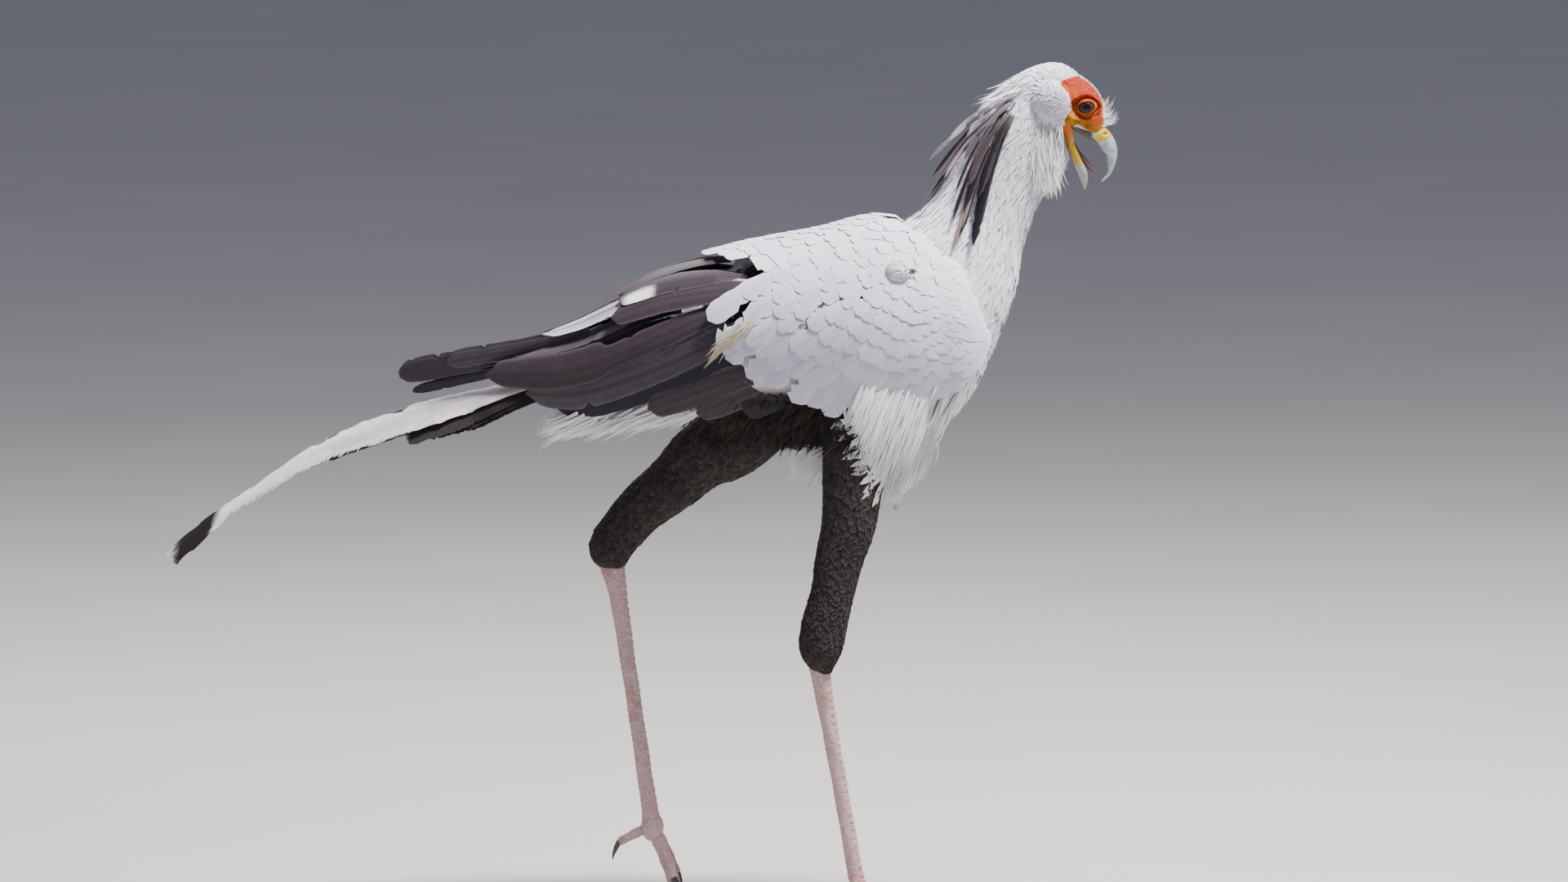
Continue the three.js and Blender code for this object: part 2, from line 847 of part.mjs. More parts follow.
function tailFeather(side, pair, i) {
  const slope = degrees(pair.fold);
  const outward = new THREE.Vector3(0, side * Math.cos(slope), -Math.sin(slope));
  const taper = i === 0 ? tailTaper.long : tailTaper.short;
  return sheet({
    rows: i === 0 ? 8 : 5,
    cells: 2,
    place: (along, across, face) => {
      const t = along * (1 - 0.03 * across * across * along ** 4);
      const centre = tailLine.getPoint(t * pair.reach);
      const tangent = tailLine.getTangent(t * pair.reach);
      const normal = tangent.clone().cross(outward).normalize();
      if (normal.z < 0) normal.negate();
      const half = pair.half * taper(along)[0] * tailSpread(centre.x)[0];
      const lower = 1 + i * 1.5;
      const out = half * (across + 1) + 0.6 + (lower + 0.4) * Math.tan(slope);
      const skin = across === 0 ? 0.8 : 0.5;
      return centre.addScaledVector(outward, out).addScaledVector(normal, face > 0 ? skin - lower : -lower);
    },
  });
}

function tail() {
  const stump = tube({
    ...shapedPath(
      [
        new THREE.Vector3(-50, 0, 608),
        new THREE.Vector3(-84, 0, 598),
        new THREE.Vector3(-112, 0, 588),
      ],
      [
        [24, 14, 34],
        [20, 19, 30],
        [17, 18, 24],
      ],
    ),
    sides: 12,
    rows: 3,
  });
  const pieces = [stump.subtract(union([trunkGrown, ...[right, left].map(tailRoom)]))];
  [right, left].forEach((side) => {
    tailPairs.forEach((pair, i) => pieces.push(tailFeather(side, pair, i)));
  });
  [-1, 0, 1].forEach((spread) => pieces.push(ventPlume(spread)));
  return union(pieces);
}

// Loose white plumes under the tail.
function ventPlume(spread) {
  const path = new THREE.QuadraticBezierCurve3(
    new THREE.Vector3(-88, spread * 9, 580),
    new THREE.Vector3(-96, spread * 13, 554),
    new THREE.Vector3(-118 + Math.abs(spread) * 14, spread * 15, 526 + Math.abs(spread) * 6),
  );
  return sheet({
    rows: 3,
    cells: 1,
    place: (along, across, face) => {
      const tangent = path.getTangent(along);
      const sideways = new THREE.Vector3(0, 1, 0.3 * spread).normalize();
      const normal = sideways.clone().cross(tangent).normalize();
      const half = 13 * feathers.blunt(along)[0];
      return path
        .getPoint(along)
        .addScaledVector(sideways, across * half)
        .addScaledVector(normal, face * 0.4 + (spread === 0 ? 0 : -1.6));
    },
  });
}

// Legs: rows of x, y, z, half width sideways, ahead, behind. The left leg trails, up on its toes.
const legs = {
  right: {
    side: right,
    thigh: [
      [232, 42, 590, 26, 38, 40],
      [236, 52, 540, 33, 41, 42],
      [231, 57, 480, 31, 33, 37],
      [227, 60, 441, 27, 30, 34],
      [217, 61, 405, 24, 27, 31],
      [208, 62, 367, 21, 26, 27],
      [197, 62, 325, 20, 28, 28],
      [196, 62, 300, 18, 25, 26],
      [200, 61, 276, 8, 9, 10],
    ],
    ankle: new THREE.Vector3(189, -61, 308),
    ball: new THREE.Vector3(240, -46, 17),
  },
  left: {
    side: left,
    thigh: [
      [150, 42, 566, 28, 40, 40],
      [100, 50, 524, 33, 42, 44],
      [64, 55, 506, 31, 39, 40],
      [33, 58, 477, 28, 34, 34],
      [0, 60, 450, 25, 30, 31],
      [-22, 61, 424, 22, 27, 30],
      [-38, 61, 403, 20, 26, 27],
      [-33, 61, 388, 16, 20, 19],
      [-28, 61, 375, 5, 6, 6],
    ],
    ankle: new THREE.Vector3(-37, 61, 403),
    ball: new THREE.Vector3(8, 58, 94),
  },
};

function thigh(leg, grow = 0) {
  const points = leg.thigh.map(([x, y, z]) => new THREE.Vector3(x, leg.side * y, z));
  return tube({ ...shapedPath(points, leg.thigh.map((row) => row.slice(3))), sides: 12, rows: 11, grow });
}

// Shank: a bony shaft with a row of broad scutes down its front.
const scuteCount = 14;

function shank(leg, grow = 0) {
  const path = new THREE.LineCurve3(leg.ankle, leg.ball);
  const shape = smoothTable([
    [0, 10, 13, 13],
    [0.12, 8.2, 11, 11],
    [0.3, 7.2, 9.2, 9.6],
    [0.75, 7, 8.6, 9],
    [0.9, 9, 9, 9.6],
    [1, 12, 10, 11],
  ]);
  const size = (t) => {
    const [wide, over, under] = shape(t);
    const scute = ((t * scuteCount) % 1) * 0.9;
    const heel = leg.side === left ? 5 * (1 - THREE.MathUtils.smoothstep(t, 0.04, 0.18)) : 0;
    return { wide, over: over + scute, under: under + heel };
  };
  return tube({ path, size, sides: 7, rows: scuteCount * 2 + 1, grow });
}

const footBall = (leg, grow = 0) => {
  const tipped = leg.side === left;
  return ball({
    at: leg.ball.clone().add(new THREE.Vector3(tipped ? 0 : 2, 0, tipped ? -2 : -1)),
    size: tipped ? [13, 15, 17] : [16, 15.5, 17.5],
    sides: 10,
    rows: 6,
    grow,
  });
};

// Toes: yaw turns away from the middle line, lengths without the claw.
const toes = [
  { digit: 1, long: 30, yaw: 168, thick: 6, claw: 24 },
  { digit: 2, long: 52, yaw: -38, thick: 7.6, claw: 21 },
  { digit: 3, long: 74, yaw: 4, thick: 8.2, claw: 23 },
  { digit: 4, long: 50, yaw: 34, thick: 7.4, claw: 19 },
];

// Paths of a toe and its claw, from the ball of the foot.
function toeLines(leg, toe) {
  const yaw = degrees(toe.yaw) * leg.side;
  const flat = new THREE.Vector3(Math.cos(yaw), Math.sin(yaw), 0);
  const start = leg.ball.clone();
  const run = toe.long + 12;
  if (leg.side === left) {
    const hind = toe.digit === 1;
    const dip = degrees(hind ? 28 : [0, 0, 62, 70, 60][toe.digit]);
    const lean = flat.clone().multiplyScalar(Math.cos(dip));
    if (!hind) lean.y = Math.sin(yaw) * 0.42;
    const down = lean.setZ(-Math.sin(dip)).normalize();
    const knuckle = start.clone().addScaledVector(down, run * 0.5).addScaledVector(flat, hind ? 0 : 3);
    const end = start.clone().addScaledVector(down, run);
    const toePath = new THREE.QuadraticBezierCurve3(start, knuckle, end);
    const bend = flat.clone().multiplyScalar(hind ? 0.5 : 0.75).setZ(-0.8).normalize();
    const reach = Math.min(toe.claw, toe.digit === 3 ? end.z / 0.8 : toe.claw);
    const clawMiddle = end.clone().addScaledVector(bend, reach * 0.6);
    const clawEnd = end.clone().addScaledVector(flat, reach * (hind ? 0.35 : 0.4));
    clawEnd.z = toe.digit === 3 ? 0 : end.z - reach * 0.86;
    return { toePath, clawPath: new THREE.QuadraticBezierCurve3(end, clawMiddle, clawEnd), flat };
  }
  const hind = toe.digit === 1;
  const knuckle = start.clone().addScaledVector(flat, run * 0.45).setZ(hind ? 16 : 11);
  const end = start.clone().addScaledVector(flat, run).setZ(hind ? 9 : toe.thick - 1.2);
  const toePath = new THREE.QuadraticBezierCurve3(start.clone().setZ(hind ? 17 : 12), knuckle, end);
  const clawMiddle = end.clone().addScaledVector(flat, toe.claw * 0.7).setZ(end.z + 3.5);
  const clawEnd = end.clone().addScaledVector(flat, toe.claw).setZ(0.2);
  return { toePath, clawPath: new THREE.QuadraticBezierCurve3(end, clawMiddle, clawEnd), flat };
}

function toeSolid(leg, toe, grow = 0) {
  const { toePath, flat } = toeLines(leg, toe);
  const sideways = new THREE.Vector3(-flat.y, flat.x, 0);
  const joints = Math.max(2, Math.round(toe.long / 20));
  const size = (t) => {
    const swell = 1 + 0.07 * Math.cos(t * joints * 2 * Math.PI);
    const half = toe.thick * mix(1, 0.8, t) * swell;
    return { wide: half, over: half * 0.95, under: half * 1.02 };
  };
  return tube({ path: toePath, size, sideways, sides: 6, rows: joints * 2 + 1, grow });
}

function clawSolid(leg, toe, grow = 0) {
  const { clawPath, flat } = toeLines(leg, toe);
  const sideways = new THREE.Vector3(-flat.y, flat.x, 0);
  const half = toe.thick * 0.62;
  const size = (t) => {
    const share = mix(1, 0.16, t ** 1.2);
    return { wide: half * share * 0.85, over: half * share, under: half * share };
  };
  return tube({ path: clawPath, size, sideways, sides: 5, rows: 4, grow });
}

// Head, neck and torso parted with thin cuts.
const headSwells = [right, left].flatMap((side) => [cheek(side), browRidge(side)]);
const upperSkin = union([trunkSkin(), skull(), throat(), ...headSwells]);
const headCut = { at: new THREE.Vector3(398, 0, 897), facing: new THREE.Vector3(0.72, 0, 0.69) };
const neckCut = { at: new THREE.Vector3(368, 0, 812), facing: new THREE.Vector3(0.42, 0, 0.91) };
const torsoCut = { at: new THREE.Vector3(330, 0, 750), facing: new THREE.Vector3(0.6, 0, 0.8) };

const headSolid = ahead(upperSkin, headCut.at, headCut.facing)
  .subtract(upperBill(seam))
  .subtract(lowerBill(seam));
const facePatches = [right, left].map((side) => {
  const lids = lidBall(side).intersect(patchPrism(side, 0));
  return headSolid
    .intersect(patchPrism(side, 0))
    .add(lids)
    .subtract(eyeball(side, seam))
    .subtract(lidOpening(side));
});
const faceRoom = union([right, left].map((side) => patchPrism(side, seam)));
const eyeRoom = union([right, left].map((side) => eyeball(side, seam)));
addPart("head", headSolid.subtract(faceRoom).subtract(eyeRoom), plumage);
addPart("face_right", facePatches[0].subtract(upperBill(seam)), bareSkin);
addPart("face_left", facePatches[1].subtract(upperBill(seam)), bareSkin);
addPart("eye_right", eyeball(right), eyeDark);
addPart("eye_left", eyeball(left), eyeDark);

// The yellow cere saddles the base of the upper bill and holds the nostrils.
function cereBox(grow) {
  const box = new THREE.BoxGeometry(15 + grow * 2, 60, 24);
  const frame = new THREE.Matrix4().makeBasis(headForward, new THREE.Vector3(0, 1, 0), headUp);
  box.applyMatrix4(frame);
  const centre = headPoint(104, 15 - grow);
  box.translate(centre.x, centre.y, centre.z);
  return solidOf(box);
}
const billSolid = upperBill();
const eyesApart = billSolid.subtract(eyeRoom);
addPart("cere", billSolid.intersect(cereBox(0)).subtract(union([nostril(right), nostril(left)])), cereYellow);
addPart("bill_upper", eyesApart.subtract(cereBox(seam)), horn);
const jawSolid = lowerBill().subtract(jawTrough()).subtract(upperBill(seam));
addPart("bill_lower", jawSolid, cereYellow);
const jawRoom = lowerBill(seam).subtract(jawTrough(-seam));
addPart("tongue", tongueSolid.subtract(jawRoom).subtract(eyeRoom), tonguePink);

const neckRest = behind(upperSkin, headCut.at, headCut.facing);
const nape = ahead(neckRest, neckCut.at, neckCut.facing);
addPart("nape", nape.subtract(lowerBill(seam)), plumage);
const crestPad = trunkSkin(2.4).intersect(ball({ at: new THREE.Vector3(385, 0, 892), size: [29, 60, 20] }));
const crestFeathers = [right, left].flatMap((side) => crestRows.map((row, i) => crestFeather(side, row, i)));
const crestOut = union([crestPad, ...crestFeathers]).subtract(trunkSkin(seam));
addPart("crest", behind(crestOut, headCut.at, headCut.facing, seam * 1.5), crestBlack);
const neckLower = ahead(behind(neckRest, neckCut.at, neckCut.facing), torsoCut.at, torsoCut.facing);
addPart("neck", neckLower, plumage);
const torsoBody = union([behind(neckRest, torsoCut.at, torsoCut.facing), breastTuft()]);
addPart("torso", torsoBody, plumage);
addPart("tail", tail(), tailGrey);

[right, left].forEach((side) => {
  const { coverts, flight } = wing(side);
  addPart("wing_" + sideName(side) + "_coverts", coverts, plumage);
  addPart("wing_" + sideName(side) + "_flight", flight, flightBlack);
});

Object.values(legs).forEach((leg) => {
  const name = sideName(leg.side);
  const upper = thigh(leg).subtract(trunkGrown).subtract(wingRoom(leg.side));
  addPart("thigh_" + name, upper, trouserBlack);
  const shaft = shank(leg).subtract(union([thigh(leg, seam), footBall(leg, seam)]));
  addPart("shank_" + name, shaft, legSkin);
  const fixed = footBall(leg);
  addPart("foot_" + name, aboveFloor(fixed), legSkin);
  toes.forEach((toe, i) => {
    const earlier = toes.slice(0, i).map((other) => toeSolid(leg, other, seam));
    const solid = toeSolid(leg, toe).subtract(union([footBall(leg, seam), shank(leg, seam), ...earlier]));
    addPart("toe_" + name + "_" + toe.digit, aboveFloor(solid), legSkin);
    const claw = clawSolid(leg, toe).subtract(toeSolid(leg, toe, seam));
    addPart("claw_" + name + "_" + toe.digit, aboveFloor(claw), clawDark);
  });
});

export default bird;
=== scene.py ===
import math
from functools import partial

import bmesh
import bpy
import numpy as np
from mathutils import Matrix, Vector
from mathutils.bvhtree import BVHTree


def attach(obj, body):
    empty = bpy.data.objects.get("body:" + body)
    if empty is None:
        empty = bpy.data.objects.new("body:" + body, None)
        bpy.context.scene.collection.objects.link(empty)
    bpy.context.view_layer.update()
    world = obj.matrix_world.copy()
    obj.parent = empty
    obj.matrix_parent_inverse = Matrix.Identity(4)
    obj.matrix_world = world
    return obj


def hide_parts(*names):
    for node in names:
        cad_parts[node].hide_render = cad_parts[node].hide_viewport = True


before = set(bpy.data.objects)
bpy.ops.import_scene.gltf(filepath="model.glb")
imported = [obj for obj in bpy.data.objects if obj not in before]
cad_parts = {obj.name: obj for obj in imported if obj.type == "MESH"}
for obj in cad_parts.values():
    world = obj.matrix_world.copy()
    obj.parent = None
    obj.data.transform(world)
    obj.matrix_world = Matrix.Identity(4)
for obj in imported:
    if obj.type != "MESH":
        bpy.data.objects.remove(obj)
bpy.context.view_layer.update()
draw = np.random.default_rng(41)

# A secretary bird in mid stride. Tables are in millimetres, and everything built is in metres.
mm = 0.001
right, left = -1, 1
sides = {"right": right, "left": left}


# Numbers and curves

def smoothTable(rows):
    # rows of at, value, value ... read as one smooth function of at
    rows = np.array(rows, float)
    at, values = rows[:, 0], rows[:, 1:]
    steps = np.diff(at)
    slopes = np.diff(values, axis=0) / steps[:, None]
    inner = slopes[:-1] * steps[1:, None] + slopes[1:] * steps[:-1, None]
    inner = inner / (steps[1:] + steps[:-1])[:, None]
    tangents = np.vstack([slopes[:1], inner, slopes[-1:]])

    def read(t):
        t = np.clip(np.asarray(t, float), at[0], at[-1])
        i = np.clip(np.searchsorted(at, t, "right") - 1, 0, len(at) - 2)
        h = steps[i][..., None]
        u = ((t - at[i]) / steps[i])[..., None]
        near, far = values[i], values[i + 1]
        bend = u * (1 - u) ** 2 * h * tangents[i] - u * u * (1 - u) * h * tangents[i + 1]
        blend = u * u * (3 - 2 * u)
        return near * (1 - blend) + far * blend + bend
    return read


def readOne(table, t):
    return table(t)[..., 0]


def ease(x, low, high):
    t = np.clip((np.asarray(x, float) - low) / (high - low), 0, 1)
    return t * t * (3 - 2 * t)


def unit(v):
    return v / np.maximum(np.linalg.norm(v, axis=-1, keepdims=True), 1e-9)


def dot(a, b):
    return (a * b).sum(-1)


def evenTable(rows):
    # the same, for points that are spread evenly from 0 to 1
    return smoothTable([[i / (len(rows) - 1), *row] for i, row in enumerate(rows)])


def blendOf(a, b, share):
    share = np.asarray(share, float)[..., None]
    return np.asarray(a, float) * (1 - share) + np.asarray(b, float) * share


def hill(x, middle, wide):
    # 1 at the middle, and soft on both sides
    return np.exp(-((x - middle) / wide) ** 2)


def turned(a, b, angle):
    # two coordinates read in a frame that is turned by an angle
    c, s = math.cos(angle), math.sin(angle)
    return a * c + b * s, b * c - a * s


# Meshes

def meshObject(name, points, faces, finish, layers=None, bakeMap=None):
    mesh = bpy.data.meshes.new(name)
    if isinstance(faces, np.ndarray):
        mesh.vertices.add(len(points))
        mesh.vertices.foreach_set("co", (points * mm).astype(np.float32).ravel())
        mesh.loops.add(faces.size)
        mesh.loops.foreach_set("vertex_index", faces.astype(np.int32).ravel())
        mesh.polygons.add(len(faces))
        mesh.polygons.foreach_set("loop_start", np.arange(0, faces.size, faces.shape[1], dtype=np.int32))
        mesh.update(calc_edges=True)
    else:
        mesh.from_pydata((np.asarray(points) * mm).tolist(), [], faces)
    mesh.polygons.foreach_set("use_smooth", np.ones(len(mesh.polygons), bool))
    for layer, values in (layers or {}).items():
        values = np.asarray(values, np.float32)
        kind = "FLOAT" if values.ndim == 1 else "FLOAT_VECTOR"
        attribute = mesh.attributes.new(layer, kind, "POINT")
        attribute.data.foreach_set("value" if kind == "FLOAT" else "vector", values.ravel())
    if bakeMap is not None:
        corners = np.zeros(len(mesh.loops), np.int32)
        mesh.loops.foreach_get("vertex_index", corners)
        bakeLayer = mesh.uv_layers.new(name="OFBake")
        bakeLayer.data.foreach_set("uv", bakeMap[corners].astype(np.float32).ravel())
    mesh.update()
    if finish is not None:
        mesh.materials.append(finish)
    piece = bpy.data.objects.new(name, mesh)
    bpy.context.scene.collection.objects.link(piece)
    return piece


def gridQuads(rows, columns, closed=False):
    # corner numbers of the quads of one grid of rows by columns points
    across = columns if closed else columns - 1
    row, column = np.meshgrid(np.arange(rows - 1), np.arange(across), indexing="ij")
    here, below, after = row * columns, (row + 1) * columns, (column + 1) % columns
    return np.stack([here + column, here + after, below + after, below + column], -1).reshape(-1, 4)


def tubeShape(centres, wide, over, under, around=28, sideways=(0, 1, 0), ahead=None):
    # a closed body round a line: half sizes sideways, above and below
    tangent = unit(np.gradient(centres, axis=0)) if ahead is None else np.broadcast_to(ahead, centres.shape)
    sideways = np.asarray(sideways, float)
    across = unit(sideways - tangent * dot(sideways, tangent)[:, None])
    up = np.cross(tangent, across)
    turn = np.linspace(0, 2 * math.pi, around, endpoint=False)
    rise = np.where(np.sin(turn) > 0, over[:, None], under[:, None]) * np.sin(turn)
    reach = np.cos(turn) * wide[:, None]
    ring = centres[:, None] + across[:, None] * reach[..., None] + up[:, None] * rise[..., None]
    points = np.vstack([ring.reshape(-1, 3), centres[:1], centres[-1:]])
    faces = gridQuads(len(centres), around, closed=True).tolist()
    first, last = len(points) - 2, len(points) - 1
    base = (len(centres) - 1) * around
    for i in range(around):
        j = (i + 1) % around
        faces.append([first, j, i])
        faces.append([last, base + i, base + j])
    return points, faces


def ringPlaces(rows, around):
    # row number and turn of each point that tubeShape makes
    row = np.concatenate([np.repeat(np.arange(rows), around), [0, rows - 1]])
    turn = np.tile(np.linspace(0, 2 * math.pi, around, endpoint=False), rows)
    return row, np.concatenate([turn, [0, 0]])


def ballShape(at, size, pitch=0, around=20, rows=14):
    turn = np.linspace(0, math.pi, rows)
    spots = np.stack([np.cos(turn), np.zeros(rows), np.zeros(rows)], -1)
    reach = np.maximum(np.sin(turn), 0.02)
    points, faces = tubeShape(spots, reach, reach, reach, around)
    points = points * size
    x, z = turned(points[:, 0], points[:, 2], pitch)
    return np.stack([x, points[:, 1], z], -1) + at, faces


def shapedTube(rows, grow=0, steps=40, around=24, sideways=(0, 1, 0)):
    # rows of x, y, z, half width, over, under
    read = evenTable(rows)(np.linspace(0, 1, steps))
    return tubeShape(read[:, :3], read[:, 3] + grow, read[:, 4] + grow, read[:, 5] + grow, around, sideways)


# Finishes: a wire is one socket of a shader, and arithmetic on wires adds Math nodes.

class Wire:
    def __init__(self, paint, socket):
        self.paint, self.socket = paint, socket

    def math(self, operation, *others):
        return self.paint.math(operation, self, *others)

    def __add__(self, other):
        return self.math("ADD", other)

    def __mul__(self, other):
        return self.math("MULTIPLY", other)

    def __sub__(self, other):
        return self.math("SUBTRACT", other)

    def __rsub__(self, other):
        return self.paint.math("SUBTRACT", other, self)

    def __truediv__(self, other):
        return self.math("DIVIDE", other)

    def __pow__(self, other):
        return self.math("POWER", other)

    __radd__, __rmul__ = __add__, __mul__


class Finish:
    def __init__(self, name):
        self.material = bpy.data.materials.new(name)
        self.material.use_nodes = True
        self.tree = self.material.node_tree
        self.tree.nodes.clear()

    def node(self, kind, settings=None, sockets=None, out=0):
        made = self.tree.nodes.new("ShaderNode" + kind)
        for key, value in (settings or {}).items():
            if key == "stops":
                self.setStops(made.color_ramp, value)
            else:
                setattr(made, key, value)
        for key, value in (sockets or {}).items():
            self.plug(made.inputs[key], value)
        return Wire(self, made.outputs[out]) if made.outputs else None

    def setStops(self, ramp, stops):
        while len(ramp.elements) < len(stops):
            ramp.elements.new(1)
        for element, (at, color) in zip(ramp.elements, stops):
            element.position = at
            element.color = (*color, 1)

    def plug(self, socket, value):
        if isinstance(value, Wire):
            self.tree.links.new(value.socket, socket)
        elif isinstance(value, tuple) and len(value) == 3 and socket.type == "RGBA":
            socket.default_value = (*value, 1)
        else:
            socket.default_value = value

    def math(self, operation, *values):
        return self.node("Math", {"operation": operation}, dict(enumerate(values)))

    def clamped(self, value, low, high):
        # 0 at low, 1 at high, smooth between
        sockets = {"Value": value, "From Min": low, "From Max": high}
        return self.node("MapRange", {"interpolation_type": "SMOOTHSTEP"}, sockets)

    def mix(self, first, second, share, blend="MIX"):
        settings = {"data_type": "RGBA", "blend_type": blend}
        return self.node("Mix", settings, {0: share, 6: first, 7: second}, out=2)

    def layer(self, name, out="Fac"):
        return self.node("Attribute", {"attribute_name": name}, out=out)

    def parts(self, vector):
        made = self.tree.nodes.new("ShaderNodeSeparateXYZ")
        self.plug(made.inputs[0], vector)
        return [Wire(self, socket) for socket in made.outputs]

    def join(self, x, y, z):
        return self.node("CombineXYZ", sockets={0: x, 1: y, 2: z})

    def place(self):
        # where a point lies, in millimetres
        here = self.node("NewGeometry", out="Position")
        return self.node("VectorMath", {"operation": "SCALE"}, {0: here, "Scale": 1 / mm})

    def noise(self, at, scale, detail=2, rough=0.5, out="Fac"):
        sockets = {"Vector": at, "Scale": scale, "Detail": detail, "Roughness": rough}
        return self.node("TexNoise", sockets=sockets, out=out)

    def cellEdges(self, at, scale):
        sockets = {"Vector": at, "Scale": scale}
        return self.node("TexVoronoi", {"feature": "DISTANCE_TO_EDGE"}, sockets, out="Distance")

    def bump(self, height, distance, strength=1):
        return self.node("Bump", sockets={"Height": height, "Distance": distance, "Strength": strength})

    def surface(self, sockets):
        shader = self.node("BsdfPrincipled", sockets=sockets)
        self.node("OutputMaterial", sockets={"Surface": shader})
        return self.material


# How each kind of feather looks. Bump is in metres, as all lengths in shaders are.
featherLooks = {
    "coat": {"roughness": 0.85, "sheen": 0.25, "barb": 0.9, "streak": 0.1, "bump": 0.00022},
    "covert": {"roughness": 0.8, "sheen": 0.25, "barb": 0.8, "streak": 0.08, "bump": 0.0002},
    "flight": {"roughness": 0.5, "sheen": 0, "barb": 0.55, "streak": 0.35, "bump": 0.00016},
    "crest": {"roughness": 0.6, "sheen": 0, "barb": 0.7, "streak": 0.4, "bump": 0.00016},
    "trouser": {"roughness": 0.9, "sheen": 0, "barb": 0.8, "streak": 0.5, "bump": 0.0002},
}


def featherFinish(name):
    # vane holds mm along, mm across and a number for each feather; paint holds its colour
    look = featherLooks[name]
    shop = Finish(name + "Feathers")
    along, across, own = shop.parts(shop.layer("vane", "Vector"))
    slant = along - across.math("ABSOLUTE") * 1.1
    barbs = shop.noise(shop.join(slant * look["barb"], across * 0.06, own * 37), 1.0, 2, 0.6)
    soft = shop.noise(shop.join(along * 0.07, across * 0.12, own * 53), 1.0, 3, 0.5)
    paint = shop.layer("paint", "Color")
    shade = 1 + (barbs - 0.5) * look["streak"] * 2 + (soft - 0.5) * look["streak"]
    color = shop.node("VectorMath", {"operation": "SCALE"}, {0: paint, "Scale": shade})
    shaft = 1 - shop.clamped(across.math("ABSOLUTE"), 0.15, 0.55)
    height = barbs * 0.7 + soft * 0.5 + shaft * 0.8
    return shop.surface({
        "Base Color": color,
        "Roughness": look["roughness"],
        "Sheen Weight": look["sheen"],
        "Specular IOR Level": 0.2,
        "Normal": shop.bump(height, look["bump"], 1.0),
    })


featherFinishes = {name: featherFinish(name) for name in featherLooks}
print("finishes for feathers")


class Vanes:
    # feathers of one kind, gathered as grids of points into one mesh
    def __init__(self, rows, columns):
        self.rows, self.columns = rows, columns
        self.points, self.vane, self.paint, self.bakeMap = [], [], [], []

    def add(self, points, vane, paint, bakeMap):
        # one feather or many: each array ends with rows, columns and its own numbers
        self.points.append(points.reshape(-1, 3))
        self.vane.append(vane.reshape(-1, 3))
        self.paint.append(paint.reshape(-1, 3))
        self.bakeMap.append(bakeMap.reshape(-1, 2))

    def build(self, name, finish, *nodes, slot):
        points = np.vstack(self.points)
        size = self.rows * self.columns
        one = gridQuads(self.rows, self.columns)
        quads = (one[None] + np.arange(len(points) // size)[:, None, None] * size).reshape(-1, 4)
        layers = {"vane": np.vstack(self.vane), "paint": np.clip(np.vstack(self.paint), 0, 1)}
        piece = meshObject(name, points, quads, featherFinishes[finish], layers, np.vstack(self.bakeMap))
        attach(piece, "root")
        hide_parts(*nodes)
        print(name, len(quads) * 2, "triangles")


# Trunk and neck, from the tail root to the nape: x, z, half width, height above, depth below.

trunkShape = smoothTable([
    [0, -78, 612, 14, 10, 14],
    [0.08, -40, 622, 24, 24, 46],
    [0.2, 30, 636, 42, 46, 88],
    [0.32, 110, 651, 60, 76, 124],
    [0.44, 190, 662, 76, 92, 156],
    [0.54, 262, 690, 78, 84, 162],
    [0.63, 315, 731, 60, 58, 115],
    [0.72, 350, 781, 42, 38, 82],
    [0.81, 376, 828, 35, 36, 72],
    [0.9, 402, 872, 31, 44, 60],
    [1, 432, 906, 26, 37, 30],
])
coatDepth = smoothTable([[0, 3], [0.3, 6], [0.55, 6], [0.7, 4.5], [0.85, 4], [1, 2.5]])
trunkCount = 240
trunkSteps = np.linspace(0, 1, trunkCount + 1)
trunkLine = trunkShape(trunkSteps)[:, [0, 0, 1]] * (1, 0, 1)
trunkAhead = unit(np.gradient(trunkLine, axis=0))

headStart = np.array([415.0, 0, 921])
headPitch = math.radians(36)
headForward = np.array([math.cos(headPitch), 0, -math.sin(headPitch)])
headUp = np.array([math.sin(headPitch), 0, math.cos(headPitch)])


def headPoint(forward, up, y=0):
    forward, up, y = np.broadcast_arrays(np.asarray(forward, float), up, y)
    spot = headStart + forward[..., None] * headForward + up[..., None] * headUp
    spot[..., 1] = y
    return spot


def headPlace(points):
    # forward and up in the head's own frame
    off = points - headStart
    return dot(off, headForward), dot(off, headUp)


# Skull: forward, centre height, half width, above, below.
skullShape = smoothTable([
    [-14, -4, 8, 8, 8],
    [0, -8, 21, 36, 28],
    [20, 0, 26.5, 46, 34],
    [45, 2, 28.5, 46, 32],
    [65, 6, 25, 41.5, 15],
    [82, 10, 19, 30, 12.5],
    [97, 10, 12, 13, 11],
    [105, 8, 5, 5, 5],
])

